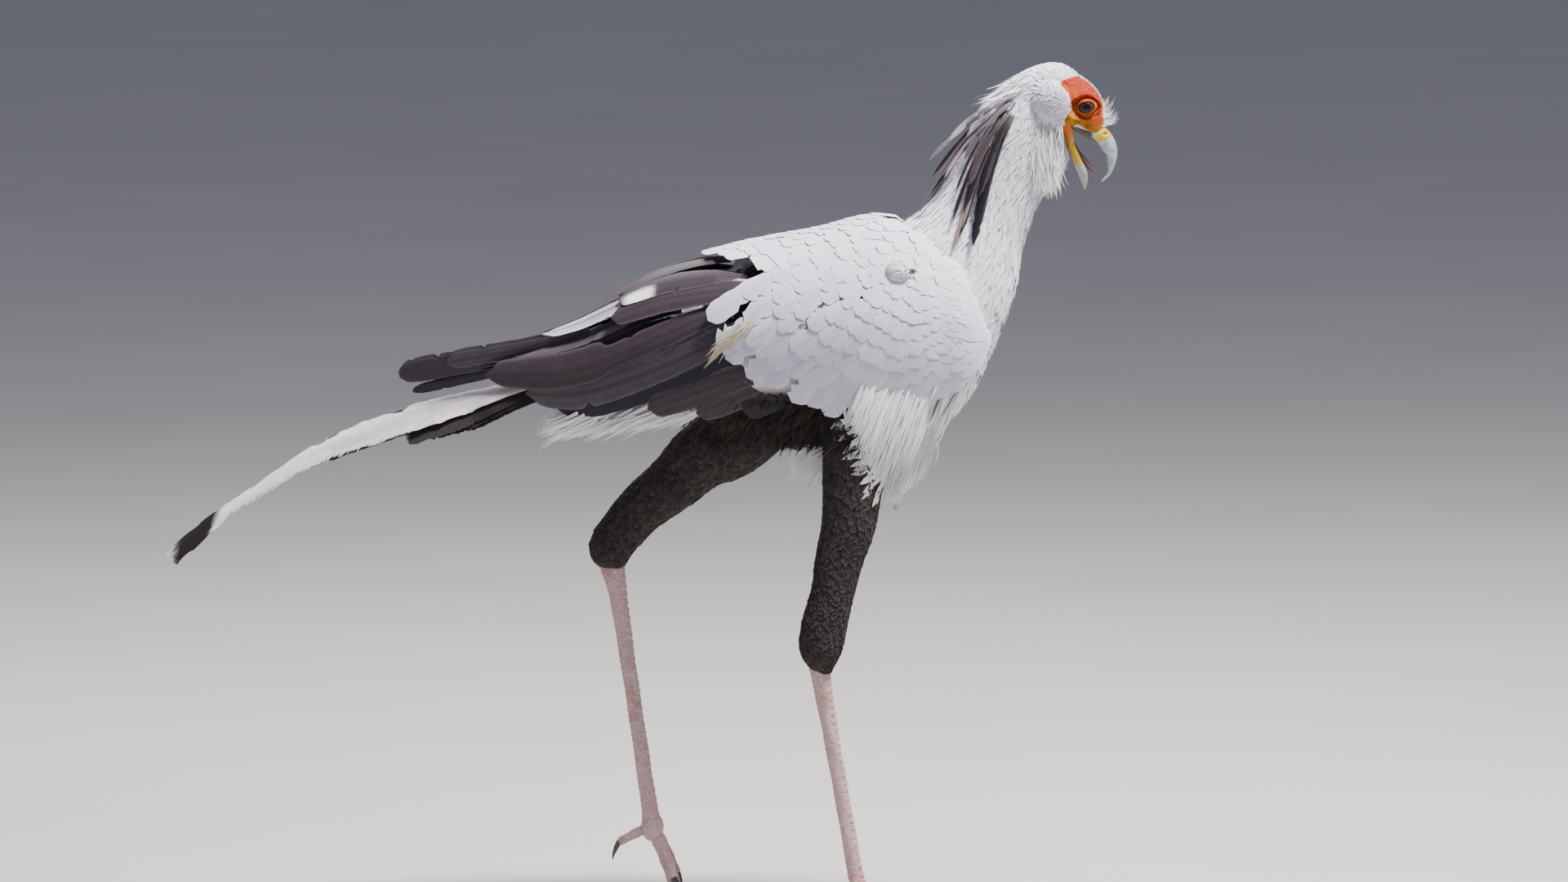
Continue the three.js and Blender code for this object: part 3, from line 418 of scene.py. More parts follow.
throatRows = [
    [438, 0, 886, 21, 18, 18],
    [443, 0, 862, 21, 22, 20],
    [449, 0, 842, 19, 25, 20],
    [447, 0, 822, 15, 17, 20],
    [434, 0, 800, 11, 8, 14],
    [420, 0, 776, 4, 3, 4],
]
breastRows = [
    [330, 0, 640, 40, 40, 40],
    [318, 0, 560, 54, 28, 44],
    [298, 0, 500, 34, 14, 26],
    [277, 0, 452, 5, 4, 4],
]
legs = {
    "right": {
        "side": right,
        "thigh": [
            [232, 42, 590, 26, 38, 40],
            [236, 52, 540, 33, 41, 42],
            [231, 57, 480, 31, 33, 37],
            [227, 60, 441, 27, 30, 34],
            [217, 61, 405, 24, 27, 31],
            [208, 62, 367, 21, 26, 27],
            [197, 62, 325, 20, 28, 28],
            [196, 62, 300, 18, 25, 26],
            [200, 61, 276, 8, 9, 10],
        ],
        "ankle": (189, -61, 308),
        "ball": (240, -46, 17),
        "heel": 0,
    },
    "left": {
        "side": left,
        "thigh": [
            [150, 42, 566, 28, 40, 40],
            [100, 50, 524, 33, 42, 44],
            [64, 55, 506, 31, 39, 40],
            [33, 58, 477, 28, 34, 34],
            [0, 60, 450, 25, 30, 31],
            [-22, 61, 424, 22, 27, 30],
            [-38, 61, 403, 20, 26, 27],
            [-33, 61, 388, 16, 20, 19],
            [-28, 61, 375, 5, 6, 6],
        ],
        "ankle": (-37, 61, 403),
        "ball": (8, 58, 94),
        "heel": 5,
    },
}
thighDepth = 2.2


def thighRows(leg):
    return [[x, leg["side"] * y, *rest] for x, y, *rest in leg["thigh"]]


# Folded wing: x, middle height, half width, half height.
wingShape = smoothTable([
    [-290, 600, 12, 6],
    [-268, 601, 18, 10],
    [-170, 610, 32, 28],
    [-80, 614, 50, 56],
    [10, 636, 72, 86],
    [100, 651, 92, 98],
    [190, 656, 104, 109],
    [262, 658, 104, 121],
    [325, 660, 92, 102],
    [368, 652, 68, 68],
    [388, 648, 34, 34],
])
underTuck = 0.22


def wingSurface(side, x, around):
    # around is 1 at the middle of the back, 0 at the widest line, -1 at the free lower edge
    x, around = np.broadcast_arrays(np.asarray(x, float), around)
    middle, wide, high = np.moveaxis(wingShape(x), -1, 0)
    turn = np.maximum(around, 0) * math.pi / 2
    y = np.where(around < 0, wide * (1 - underTuck * around ** 2), wide * np.cos(turn))
    z = middle + high * np.where(around < 0, around, np.sin(turn))
    return np.stack([x, side * y, z], -1)


def wingPoint(side, x, around, height):
    alongX = wingSurface(side, x + 2, around) - wingSurface(side, x - 2, around)
    alongRound = wingSurface(side, x, around + 0.02) - wingSurface(side, x, around - 0.02)
    normal = unit(np.cross(alongX, alongRound)) * -side
    return wingSurface(side, x, around) + normal * np.asarray(height, float)[..., None]


def aroundAt(x, z):
    middle, _, high = wingShape(x)
    share = np.clip((z - middle) / high, -1.1, 0.995)
    return share if share < 0 else math.asin(share) / (math.pi / 2)


def roundStep(side, x, around):
    apart = wingSurface(side, x, around + 0.01) - wingSurface(side, x, around - 0.01)
    return np.linalg.norm(apart, axis=-1) / 0.02


def wingShield(side, fromX, toX, low, high, outer, inner):
    # a closed plate under the feathers of one wing
    rows, columns = 40, 36
    along, across = np.meshgrid(np.linspace(0, 1, rows), np.linspace(0, 1, columns), indexing="ij")
    x, around = fromX + (toX - fromX) * along, low + (high - low) * across
    faces = gridQuads(rows, columns)
    count = rows * columns
    rim = np.prod([np.sin(np.pi * np.clip(share, 0.02, 0.98)) ** 0.25 for share in (across, along)], 0)
    middle = (outer + inner) / 2
    top = wingPoint(side, x, around, middle + (outer - middle) * rim)
    bottom = wingPoint(side, x, around, middle + (inner - middle) * rim)
    points = np.vstack([top.reshape(-1, 3), bottom.reshape(-1, 3)])
    everyFace = faces.tolist() + (faces[:, ::-1] + count).tolist()
    number = np.arange(count).reshape(rows, columns)
    edge = [*number[0], *number[1:, -1], *number[-1, -2::-1], *number[-2:0:-1, 0]]
    edge = [int(corner) for corner in edge]
    for i, here in enumerate(edge):
        after = edge[(i + 1) % len(edge)]
        everyFace.append([here, count + here, count + after, after])
    return points, everyFace


# One skin under the plumage: every fleshy form is laid in, fused, and smoothed.

skinLook = {"voxel": 2.8, "rounds": 16, "faceCuts": 3}


def trunkTube():
    shape = trunkShape(trunkSteps[::3])
    depth = readOne(coatDepth, trunkSteps[::3])
    centres = trunkLine[::3]
    return tubeShape(centres, shape[:, 2] - depth, shape[:, 3] - depth, shape[:, 4] - depth, 48)


def skullTube():
    forward = np.linspace(-14, 105, 60)
    shape = skullShape(forward)
    underPlumage = 1.0
    sizes = (shape[:, 1:] - underPlumage).T
    return tubeShape(headPoint(forward, shape[:, 0]), *sizes, 40, ahead=headForward)


earPad = {"centre": (34, 8), "radius": 20, "rise": 2.4, "groove": 1.1}


def earShare(points):
    # 0 in the middle of the ear pad, 1 at its rim
    forward, up = headPlace(points)
    return np.hypot(forward - earPad["centre"][0], up - earPad["centre"][1]) / earPad["radius"]


def raiseEar(points):
    share = earShare(points)
    near = (np.abs(points[:, 1]) > 10) & (share < 1.4)
    rise = earPad["rise"] * (1 - ease(share, 0.8, 1.08)) - earPad["groove"] * hill(share, 1.14, 0.1)
    moved = points.copy()
    moved[near, 1] += (np.sign(points[:, 1]) * rise)[near]
    return moved


def fleshForms():
    forms = [trunkTube(), skullTube(), shapedTube(throatRows, -5), shapedTube(breastRows, -8)]
    for side in sides.values():
        forms.append(ballShape(headPoint(*earPad["centre"], side * 18), (20, 12.6, 20), headPitch))
        forms.append(ballShape(headPoint(70, 34, side * 17), (17, 6, 5), headPitch))
        forms.append(wingShield(side, 96, 384, -0.8, 0.97, -9.5, -34))
    for leg in legs.values():
        forms.append(shapedTube(thighRows(leg), -thighDepth, 60, 28))
    return forms


def fusedSkin():
    points, faces = [], []
    for shape, corners in fleshForms():
        offset = sum(len(group) for group in points)
        points.append(shape)
        faces += [[corner + offset for corner in face] for face in corners]
    rough = meshObject("roughSkin", np.vstack(points), faces, None)
    remesh = rough.modifiers.new("fuse", "REMESH")
    remesh.mode = "VOXEL"
    remesh.voxel_size = skinLook["voxel"] * mm
    graph = bpy.context.evaluated_depsgraph_get()
    mesh = bpy.data.meshes.new_from_object(rough.evaluated_get(graph))
    bpy.data.objects.remove(rough)
    return mesh


def vertexArray(mesh):
    co = np.zeros(len(mesh.vertices) * 3, np.float32)
    mesh.vertices.foreach_get("co", co)
    return co.reshape(-1, 3).astype(float) / mm


def smoothed(mesh, points, weight, rounds):
    edges = np.zeros(len(mesh.edges) * 2, np.int32)
    mesh.edges.foreach_get("vertices", edges)
    edges = edges.reshape(-1, 2)
    count = np.bincount(edges.ravel(), minlength=len(points))[:, None]
    for _ in range(rounds):
        total = np.zeros_like(points)
        for axis in range(3):
            total[:, axis] += np.bincount(edges[:, 0], points[edges[:, 1], axis], len(points))
            total[:, axis] += np.bincount(edges[:, 1], points[edges[:, 0], axis], len(points))
        points = points + (total / np.maximum(count, 1) - points) * weight[:, None] * 0.6
    return points


# Bare face patch, forward and up, from its rear point over the brow to the bill and back along the gape.
face = {
    "outline": [
        [31.5, 28.5], [38, 40.5], [47.5, 48.5], [60, 51.5], [73, 47.5], [83, 39], [90.5, 29.5], [99, 20],
        [103, 8], [92, 4.2], [80, 3.6], [71, 1], [77, -7], [84, -15], [78, -19], [68, -9], [59, -1],
        [60, 11], [53, 18.5], [44, 25],
    ],
    "eye": (70.5, 24, 12.5),
    "eyeRadius": 11,
    "opening": (8.9, 5.9),
    "tilt": 46,
    "lidRise": 0.6,
}


def closedCurve(corners, steps=10):
    corners = np.array(corners, float)
    made = []
    for i in range(len(corners)):
        a, b, c, d = (corners[(i + k) % len(corners)] for k in (-1, 0, 1, 2))
        for u in np.linspace(0, 1, steps, endpoint=False):
            square, cube = 2 * a - 5 * b + 4 * c - d, 3 * b - a - 3 * c + d
            made.append((2 * b + (c - a) * u + square * u ** 2 + cube * u ** 3) / 2)
    return np.array(made)


faceOutline = closedCurve(face["outline"])


def edgeDistance(forward, up):
    # millimetres inside the face patch, negative outside
    best = np.full(len(forward), 1e9)
    inside = np.zeros(len(forward), bool)
    for a, b in zip(faceOutline, np.roll(faceOutline, -1, axis=0)):
        run = b - a
        share = np.clip(((forward - a[0]) * run[0] + (up - a[1]) * run[1]) / (run @ run), 0, 1)
        off = np.hypot(forward - a[0] - share * run[0], up - a[1] - share * run[1])
        best = np.minimum(best, off)
        crosses = (a[1] > up) != (b[1] > up)
        level = np.where(crosses, (up - a[1]) / (run[1] if run[1] else 1e-9), 0)
        inside ^= crosses & (forward < a[0] + level * run[0])
    return np.where(inside, best, -best)


def eyeShare(forward, up):
    # 0 at the middle of the eye's opening, 1 at its rim, and the turn round it
    along, across = turned(forward - face["eye"][0], up - face["eye"][1], math.radians(face["tilt"]))
    share = np.hypot(along / face["opening"][0], across / face["opening"][1])
    return share, np.arctan2(across, along)


def lidShape(points):
    # presses the eye's opening into the skin and raises a rim of lid round it
    forward, up = headPlace(points)
    side = np.sign(points[:, 1])
    eyeForward, eyeHigh, eyeOut = face["eye"]
    share, turn = eyeShare(forward, up)
    out = np.abs(points[:, 1])
    near = (out > 8) & (share < 3.2)
    flat = (forward - eyeForward) ** 2 + (up - eyeHigh) ** 2
    radius = face["eyeRadius"]
    ballOut = eyeOut + np.sqrt(np.maximum(radius ** 2 - flat, 4))
    socket = eyeOut + np.sqrt(np.maximum((radius - 2.2) ** 2 - flat, 1)) - 1.5
    upper = 0.5 + 0.5 * np.sin(turn)
    rim = ballOut + 0.3 + (face["lidRise"] + 1.1 * upper) * hill(share, 1.2, 0.16)
    front = 0.5 + 0.5 * np.cos(turn + 0.8)
    crease = -1.1 * front * hill(share, 1.5, 0.09) + 0.6 * front * hill(share, 1.72, 0.12)
    crease = crease - 0.8 * hill(share, 1.95 + 0.2 * front, 0.08) * front
    lid = rim + crease
    outside = lid + (out + crease - lid) * ease(share, 1.45, 2.5)
    wanted = np.where(share < 0.97, socket, outside)
    moved = points.copy()
    moved[near, 1] = (side * wanted)[near]
    return moved


def makeSkin():
    mesh = fusedSkin()
    points = vertexArray(mesh)
    forward, up = headPlace(points)
    head = ease(forward, -12, 10) * ease(up, -40, -20)
    points = smoothed(mesh, points, 1 - 0.8 * head, skinLook["rounds"])
    mesh.vertices.foreach_set("co", (points * mm).astype(np.float32).ravel())
    # finer skin on the face
    work = bmesh.new()
    work.from_mesh(mesh)
    fine = []
    for edge in work.edges:
        middle = np.array((edge.verts[0].co + edge.verts[1].co) / 2) / mm
        if middle[0] > 435 and middle[2] > 850:
            f, u = headPlace(middle)
            if 28 < f < 108 and -14 < u < 50 and abs(middle[1]) > 3:
                fine.append(edge)
    bmesh.ops.subdivide_edges(work, edges=fine, cuts=skinLook["faceCuts"], use_grid_fill=True)
    work.to_mesh(mesh)
    work.free()
    points = vertexArray(mesh)
    forward, up = headPlace(points)
    region = ease(forward, 26, 32) * ease(up, -16, -10) * ease(np.abs(points[:, 1]), 2, 5)
    points = smoothed(mesh, points, region, 10)
    return mesh, lidShape(raiseEar(points))


skinMesh, skinPoints = makeSkin()
print("skin", len(skinPoints), "points")


# Where a point lies on the bird

def nearestTrunk(points):
    best = np.zeros(len(points), int)
    batch = 20000
    for start in range(0, len(points), batch):
        off = points[start:start + batch, None, ::2] - trunkLine[None, :, ::2]
        best[start:start + batch] = (off ** 2).sum(-1).argmin(1)
    return best


thighLines = {name: evenTable(thighRows(leg))(np.linspace(0, 1, 80)) for name, leg in legs.items()}


def nearestThigh(points, name):
    line = thighLines[name]
    off = points[:, None] - line[None, :, :3]
    far = np.linalg.norm(off, axis=-1) / (line[None, :, 3:].mean(-1) + 2)
    i = far.argmin(1)
    return i, far[np.arange(len(points)), i]


def onBird(points):
    # facts of each point that colours and feathers share
    nearest = nearestTrunk(points)
    forward, up = headPlace(points)
    x, _, z = points.T
    out = np.abs(points[:, 1])
    facts = {"t": trunkSteps[nearest], "forward": forward, "up": up, "flow": -trunkAhead[nearest]}
    thigh = np.full(len(points), 9.0)
    thighFlow = np.zeros((len(points), 3))
    index = np.flatnonzero(z < 620)
    for name, line in thighLines.items():
        i, far = nearestThigh(points[index], name)
        run = unit(np.gradient(line[:, :3], axis=0))
        closer = far < thigh[index]
        thigh[index[closer]] = far[closer]
        thighFlow[index[closer]] = run[i[closer]]
    facts["thigh"], facts["thighFlow"] = thigh, thighFlow
    # dark thighs, flanks and ground under the flight feathers, painted shade under the rear coverts; white
    # breast and belly tuft
    fringe = ease(x, 30, 60) * (1 - ease(x, 215, 250)) * (1 - ease(z, 585, 600)) * (z < 606)
    tuft = ease(x, 150, 165) * (1 - ease(z, 496, 508)) * (1 - ease(out, 26, 34))
    legShade = (1 - ease(thigh, 1.12, 1.3)) * (1 - ease(z, 545, 590))
    breast = ease(x - 238 - (560 - z) * 0.36, -6, 8) * ease(z, 448, 470)
    # painted shade: the skin in the gap between the rear coverts and the flight feathers is made nearly black
    shaded = ease(x, 60, 80) * (1 - ease(x, 146, 158)) * ease(out, 32, 40)
    shaded = shaded * ease(z, 660, 680) * (1 - ease(z, 738, 744))
    dark = np.clip(np.maximum(legShade * (1 - breast), fringe * (1 - tuft)), 0, 1)
    facts["dark"] = np.maximum(dark, shaded * 0.9)
    facts["head"] = ease(forward, -16, 0) * ease(up, -34, -22)
    trunkWide = trunkShape(facts["t"])[:, 2]
    facts["wing"] = ease(out - trunkWide, 2, 8) * ease(z, 520, 545) * (x < 392)
    return facts


colors = {
    "white": (0.79, 0.77, 0.85),
    "lilac": (0.56, 0.53, 0.63),
    "covertGrey": (0.50, 0.48, 0.62),
    "cream": (0.78, 0.74, 0.72),
    "warmGrey": (0.56, 0.51, 0.52),
    "black": (0.018, 0.014, 0.015),
    "brown": (0.085, 0.062, 0.055),
}


def coatColor(facts, points):
    # the marking that skin and coat share, with painted shade in the groove behind the ear pad
    base = blendOf(colors["white"], colors["cream"], (1 - ease(points[:, 2], 520, 660)) * 0.6)
    off = np.hypot(facts["forward"] - earPad["centre"][0], facts["up"] - earPad["centre"][1])
    pad = 1 - ease(off, 16, 21)
    # painted shade: a lilac band just outside the rear rim of the ear pad, in the groove behind it
    rear = hill(off, 22.5, 1.6) * (1 - ease(facts["forward"], 24, 38))
    base = blendOf(base, colors["lilac"], np.clip(0.45 * pad + 0.9 * rear, 0, 1))
    return blendOf(base, colors["black"], facts["dark"])


skinFacts = onBird(skinPoints)
skinCorners = [list(polygon.vertices) for polygon in skinMesh.polygons]
outsideFace = -20.0


def skinFinish():
    shop = Finish("skin")
    here = shop.place()
    paint = shop.layer("paint", "Color")
    fine = shop.noise(here, 0.55, 4, 0.6)
    broad = shop.noise(here, 0.09, 3, 0.5)
    edge = shop.layer("faceEdge") + (fine - 0.5) * 2.2
    bare = shop.clamped(edge, -0.4, 0.5)
    tone = shop.layer("faceTone") + (broad - 0.5) * 0.35 + (fine - 0.5) * 0.16
    # yellow at the mouth, orange round the eye, coral over the brow
    stops = [
        (0.0, (0.54, 0.30, 0.0)), (0.1, (0.56, 0.20, 0.0)), (0.24, (0.58, 0.12, 0.002)),
        (0.4, (0.56, 0.065, 0.0)), (0.66, (0.66, 0.12, 0.0)), (0.8, (0.56, 0.035, 0.006)),
        (1.0, (0.60, 0.06, 0.03)),
    ]
    flesh = shop.node("ValToRGB", {"stops": stops}, {0: tone})
    cells = shop.cellEdges(here, 0.85)
    wrinkle = shop.noise(here, 0.3, 4, 0.65)
    grain = shop.clamped(cells, 0.02, 0.3)
    rimward = shop.clamped(tone, 0.72, 1.0)
    shaded = shop.mix(flesh, (0.26, 0.02, 0.0), (1 - grain) * 0.6)
    # painted highlight: pink-white flecks on the granules of the upper face
    shaded = shop.mix(shaded, (0.90, 0.45, 0.36), rimward * shop.clamped(fine, 0.55, 0.68) * grain)
    shaded = shop.mix(shaded, (0.22, 0.02, 0.0), shop.clamped(broad, 0.5, 0.68) * (1 - rimward) * 0.6)
    lidColorAndShade = shop.layer("lid")
    # yellow rim of the lid, then painted shade in the lid creases and inside the eye's opening
    shaded = shop.mix(shaded, (0.60, 0.36, 0.02), shop.clamped(lidColorAndShade, 0.5, 0.95) * 0.8)
    shaded = shop.mix(shaded, (0.05, 0.012, 0.008), shop.clamped(lidColorAndShade, -0.15, -0.7))
    color = shop.mix(paint, shaded, bare)
    height = grain * (0.35 + rimward * 0.5) + wrinkle * 1.3 + fine * 0.4
    return shop.surface({
        "Base Color": color,
        "Roughness": 0.85 - bare * 0.3,
        "Specular IOR Level": 0.22,
        "Normal": shop.bump(height, 0.0011, 1.0),
    })


def faceEdge(facts, wanted=True):
    # millimetres inside the bare face for each wanted point near it, and which points those are
    edge = np.full(len(facts["up"]), outsideFace)
    near = (facts["forward"] > 20) & (facts["up"] > -20) & wanted
    edge[near] = edgeDistance(facts["forward"][near], facts["up"][near])
    return edge, near


def buildSkin():
    out = np.abs(skinPoints[:, 1])
    edge, near = faceEdge(skinFacts, out > 3)
    # the gape strip runs down the corner of the mouth
    strip = np.hypot((skinPoints[:, 0] - 469) / 6.5, (skinPoints[:, 2] - 876) / 20)
    edge = np.maximum(edge, np.where(out > 6, (1 - strip) * 6, outsideFace))
    forward, up = skinFacts["forward"], skinFacts["up"]
    tone = ease(up - (forward - 70) * 0.1, 0, 50)
    share, turn = eyeShare(forward, up)
    rear, front = 0.5 + 0.5 * np.cos(turn + 2.36), 0.5 + 0.5 * np.cos(turn + 0.8)
    # yellow band at the rear of the lid rim is the lid's own colour; the dark lines in the creases in front
    # and inside the opening are painted shade
    ring = hill(share, 1.13, 0.07) * rear - hill(share, 1.5, 0.08) * front * 0.7
    ring = ring - hill(share, 1.95 + 0.2 * front, 0.07) * 0.45 * front
    ring = np.where(share < 1.03, -1, ring)
    layers = {
        "paint": coatColor(skinFacts, skinPoints) * 0.9,
        "faceEdge": edge,
        "faceTone": tone,
        "lid": np.where(near, ring, 0),
    }
    piece = meshObject("skin", skinPoints, skinCorners, skinFinish(), layers)
    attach(piece, "root")
    flesh = ["head", "face_right", "face_left", "nape", "neck", "torso", "thigh_right", "thigh_left"]
    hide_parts(*flesh)


buildSkin()
skinTree = BVHTree.FromPolygons(skinPoints.tolist(), skinCorners)


def skinTriangles():
    skinMesh.calc_loop_triangles()
    corners = np.zeros(len(skinMesh.loop_triangles) * 3, np.int32)
    skinMesh.loop_triangles.foreach_get("vertices", corners)
    return corners.reshape(-1, 3)


triangles = skinTriangles()
triangleCentres = skinPoints[triangles].mean(1)


def bakePlace(points, facts):
    # an unwrap of the skin: along and round the trunk, with the thighs on their own ground
    t = facts["t"]
    line = trunkLine[np.clip((t * trunkCount).astype(int), 0, trunkCount)]
    turn = np.arctan2(points[:, 1], points[:, 2] - line[:, 2]) / (2 * math.pi) + 0.5
    u, v = 0.02 + 0.62 * t, 0.02 + 0.62 * turn
    head = facts["forward"] > 0
    u = np.where(head, 0.66 + 0.002 * facts["forward"], u)
    thigh = facts["thigh"] < 1.2
    u = np.where(thigh, np.where(points[:, 1] > 0, 0.04, 0.5) + 0.0009 * (points[:, 0] + 60), u)
    v = np.where(thigh, 0.68 + 0.001 * (points[:, 2] - 270) * 0.9, v)
    return np.clip(np.stack([u, v], -1), 0.003, 0.995)


def scatter(wanted, spacing, tries=5):
    # roots spread over the skin, no two closer than the spacing there
    index = np.flatnonzero(wanted)
    a, b, c = (skinPoints[triangles[index, k]] for k in range(3))
    area = np.linalg.norm(np.cross(b - a, c - a), axis=1) / 2
    near = spacing(triangleCentres[index]) if callable(spacing) else np.full(len(index), float(spacing))
    weight = area / near ** 2
    count = int(weight.sum() * tries)
    pick = draw.choice(len(index), count, p=weight / weight.sum())
    u, v = draw.random(count), draw.random(count)
    flip = u + v > 1
    u, v = np.where(flip, 1 - u, u)[:, None], np.where(flip, 1 - v, v)[:, None]
    spots = a[pick] + (b - a)[pick] * u + (c - a)[pick] * v
    limits = (near[pick] ** 2).tolist()
    grid, kept = {}, []
    keys = np.floor(spots / float(near.max())).astype(int).tolist()
    listed = spots.tolist()
    steps = [(dx, dy, dz) for dx in (-1, 0, 1) for dy in (-1, 0, 1) for dz in (-1, 0, 1)]
    for i, ((x, y, z), (kx, ky, kz), limit) in enumerate(zip(listed, keys, limits)):
        others = (listed[j] for dx, dy, dz in steps for j in grid.get((kx + dx, ky + dy, kz + dz), ()))
        if all((x - a) ** 2 + (y - b) ** 2 + (z - c) ** 2 >= limit for a, b, c in others):
            grid.setdefault((kx, ky, kz), []).append(i)
            kept.append(i)
    return spots[kept]


def onSkin(points):
    # the nearest skin to each point, and its normal
    spots, normals = np.empty_like(points), np.empty_like(points)
    for i, point in enumerate(points.tolist()):
        spot, normal, _, _ = skinTree.find_nearest(point)
        spots[i], normals[i] = spot, normal
    return spots, normals


featherShapes = {
    "leaf": [0.35, 0.8, 1, 0.82, 0.2],
    "round": [0.45, 0.85, 1, 0.95, 0.5],
    "hair": [0.9, 1, 0.85, 0.55, 0.12],
}
bakePatch = 0.003


def patchGrid(rows, columns):
    # a small place on the unwrap for each small feather
    sides = [np.linspace(0, bakePatch, many) for many in (rows, columns)]
    return np.stack(np.meshgrid(*sides, indexing="ij"), -1)


def growCoat(vanes, roots, flow, look, paint):
    # feathers of five rows and three columns that follow the skin from each root
    count = len(roots)
    here, normal = onSkin(roots)
    length = look["length"](roots) * draw.uniform(0.8, 1.2, count)
    half = look["half"](roots) * draw.uniform(0.8, 1.2, count)
    lean = draw.normal(0, look["stray"], count)[:, None]
    own = draw.random(count)
    shape = featherShapes[look["shape"]]
    stand = draw.uniform(0.6, 1.5, count) * look["lift"]
    flow = unit(flow - normal * dot(flow, normal)[:, None])
    heading = unit(flow + np.cross(normal, flow) * lean)
    roll = draw.normal(0, look["roll"], count)
    rows, columns = vanes.rows, vanes.columns
    grids = np.zeros((count, rows, columns, 3))
    along = np.zeros((count, rows, columns))
    across = np.zeros((count, rows, columns))
    for row in range(rows):
        share = row / (rows - 1)
        if row:
            here, normal = onSkin(here + heading * (length / (rows - 1))[:, None])
            heading = unit(heading - normal * dot(heading, normal)[:, None])
        height = -0.4 + stand * share ** look["rise"]
        sideways = unit(np.cross(normal, heading))
        for column, off in enumerate((-1, 0, 1)):
            reach = half * shape[row] * off
            dip = -look["camber"] * half * abs(off) * (0.4 + share) + roll * off * half
            grids[:, row, column] = here + sideways * reach[:, None] + normal * (height + dip)[:, None]
            if off and row == rows - 1:
                grids[:, row, column] -= heading * (length * look["tip"])[:, None]
            along[:, row, column] = length * share
            across[:, row, column] = reach
    vane = np.stack([along, across, np.broadcast_to(own[:, None, None], along.shape)], -1)
    facts = onBird(roots)
    tint = paint(roots, facts, own)
    shades = np.broadcast_to(tint[:, None, None], grids.shape).copy()
    if "edge" in look:
        outer = (along / length[:, None, None]) ** 4 * look["edge"]["share"]
        shades = blendOf(shades, look["edge"]["color"], outer * (0.4 + 0.6 * own[:, None, None]))
    vanes.add(grids, vane, shades, bakePlace(roots, facts)[:, None, None] + patchGrid(rows, columns)[None])


def alike(value):
    return lambda points: np.full(len(points), float(value))


def whiteShade(points, facts, own):
    return blendOf(coatColor(facts, points), colors["lilac"], 0.25 * own ** 2)


# Small feathers, region by region

facts = {key: values[triangles[:, 0]] for key, values in skinFacts.items()}
edgeThere, _ = faceEdge(facts)
onHead = facts["head"] > 0.3
onNeck = (facts["t"] > 0.62) & ~onHead
isDark = facts["dark"] > 0.5
onWing = facts["wing"] > 0.3


def headFlow(points, facts):
    # back over the crown, and down over the cheek and throat
    back = np.broadcast_to(-headForward, points.shape)
    down = np.array([-0.45, 0, -0.9])
    share = (1 - ease(facts["up"], -10, 22))[:, None]
    return unit(back * (1 - share) + down * share)


def growHead():
    vanes = Vanes(5, 3)
    clear = onHead & ~((edgeThere > -1.2) & (np.abs(triangleCentres[:, 1]) > 4)) & (facts["forward"] < 96)
    roots = scatter(clear, lambda p: 1.5 + 1.3 * ease(-headPlace(p)[0], -60, 10))
    here = onBird(roots)
    look = {
        "length": lambda p: 5.0 + 7 * ease(-headPlace(p)[0], -70, 10),
        "half": lambda p: 0.8 + 0.9 * ease(-headPlace(p)[0], -70, 10),
        "stray": 0.14, "lift": 1.3, "rise": 0.8, "camber": 0.1, "roll": 0.12, "tip": 0.0, "shape": "hair",
    }
    growCoat(vanes, roots, headFlow(roots, here), look, whiteShade)
    vanes.build("head_feathers", "coat", "head", "nape", slot="plumage")


def growNeck():
    vanes = Vanes(5, 3)
    clear = onNeck & ~isDark
    roots = scatter(clear, lambda p: 2.3 + 1.5 * (1 - ease(p[:, 2], 760, 880)))
    here = onBird(roots)
    look = {
        "length": lambda p: 20 + 9 * (1 - ease(p[:, 2], 740, 860)),
        "half": lambda p: 0.8 + 1.3 * (1 - ease(p[:, 2], 740, 850)),
        "stray": 0.17, "lift": 1.9, "rise": 0.8, "camber": 0.02, "roll": 0.12, "tip": 0.0, "shape": "hair",
    }
    growCoat(vanes, roots, here["flow"], look, whiteShade)
    vanes.build("neck_feathers", "coat", "neck", slot="plumage")


def growBody(name, side):
    vanes = Vanes(5, 3)
    bare = onWing & (facts["t"] < 0.5) & (triangleCentres[:, 0] < 250)
    clear = ~onHead & (facts["t"] <= 0.66) & ~isDark & ~bare & (triangleCentres[:, 1] * side > 0)
    roots = scatter(clear, 4.5)
    here = onBird(roots)
    look = {
        "length": lambda p: 24 + 8 * (1 - ease(p[:, 2], 540, 640)), "half": alike(3.9), "stray": 0.2,
        "lift": 1.8, "rise": 0.85, "camber": 0.04, "roll": 0.1, "tip": 0.04, "shape": "leaf",
    }
    growCoat(vanes, roots, here["flow"], look, whiteShade)
    vanes.build("body_feathers_" + name, "coat", "torso", slot="plumage")


def thighShade(points, facts, own):
    return blendOf(colors["black"], colors["brown"], 0.2 * own ** 2)


def growThighs():
    vanes = Vanes(5, 3)
    # dark feathers grow on the thighs and flanks, and on the painted shade patch under the rear coverts
    roots = scatter(isDark, lambda p: 3.1 - 0.9 * (1 - ease(p[:, 2], 330, 480)))
    here = onBird(roots)
    onThigh = (here["thigh"] < 1.4)[:, None]
    flow = np.where(onThigh, here["thighFlow"], np.array([-0.5, 0, -0.85]))
    look = {
        "length": lambda p: 9 + 7 * ease(p[:, 2], 330, 520),
        "half": lambda p: 2.6 + 1.6 * ease(p[:, 2], 330, 500),
        "stray": 0.2, "lift": 1.2, "rise": 1.1, "camber": 0.08, "roll": 0.1, "tip": 0.12, "shape": "round",
        "edge": {"share": 0.32, "color": (0.15, 0.12, 0.12)},
    }
    growCoat(vanes, roots, flow, look, thighShade)
    vanes.build("thigh_feathers", "trouser", "thigh_right", "thigh_left", slot="trouser_feathers")


growHead()
growNeck()
for name, side in sides.items():
    growBody(name, side)
growThighs()


# Long vanes: wing, tail and crest

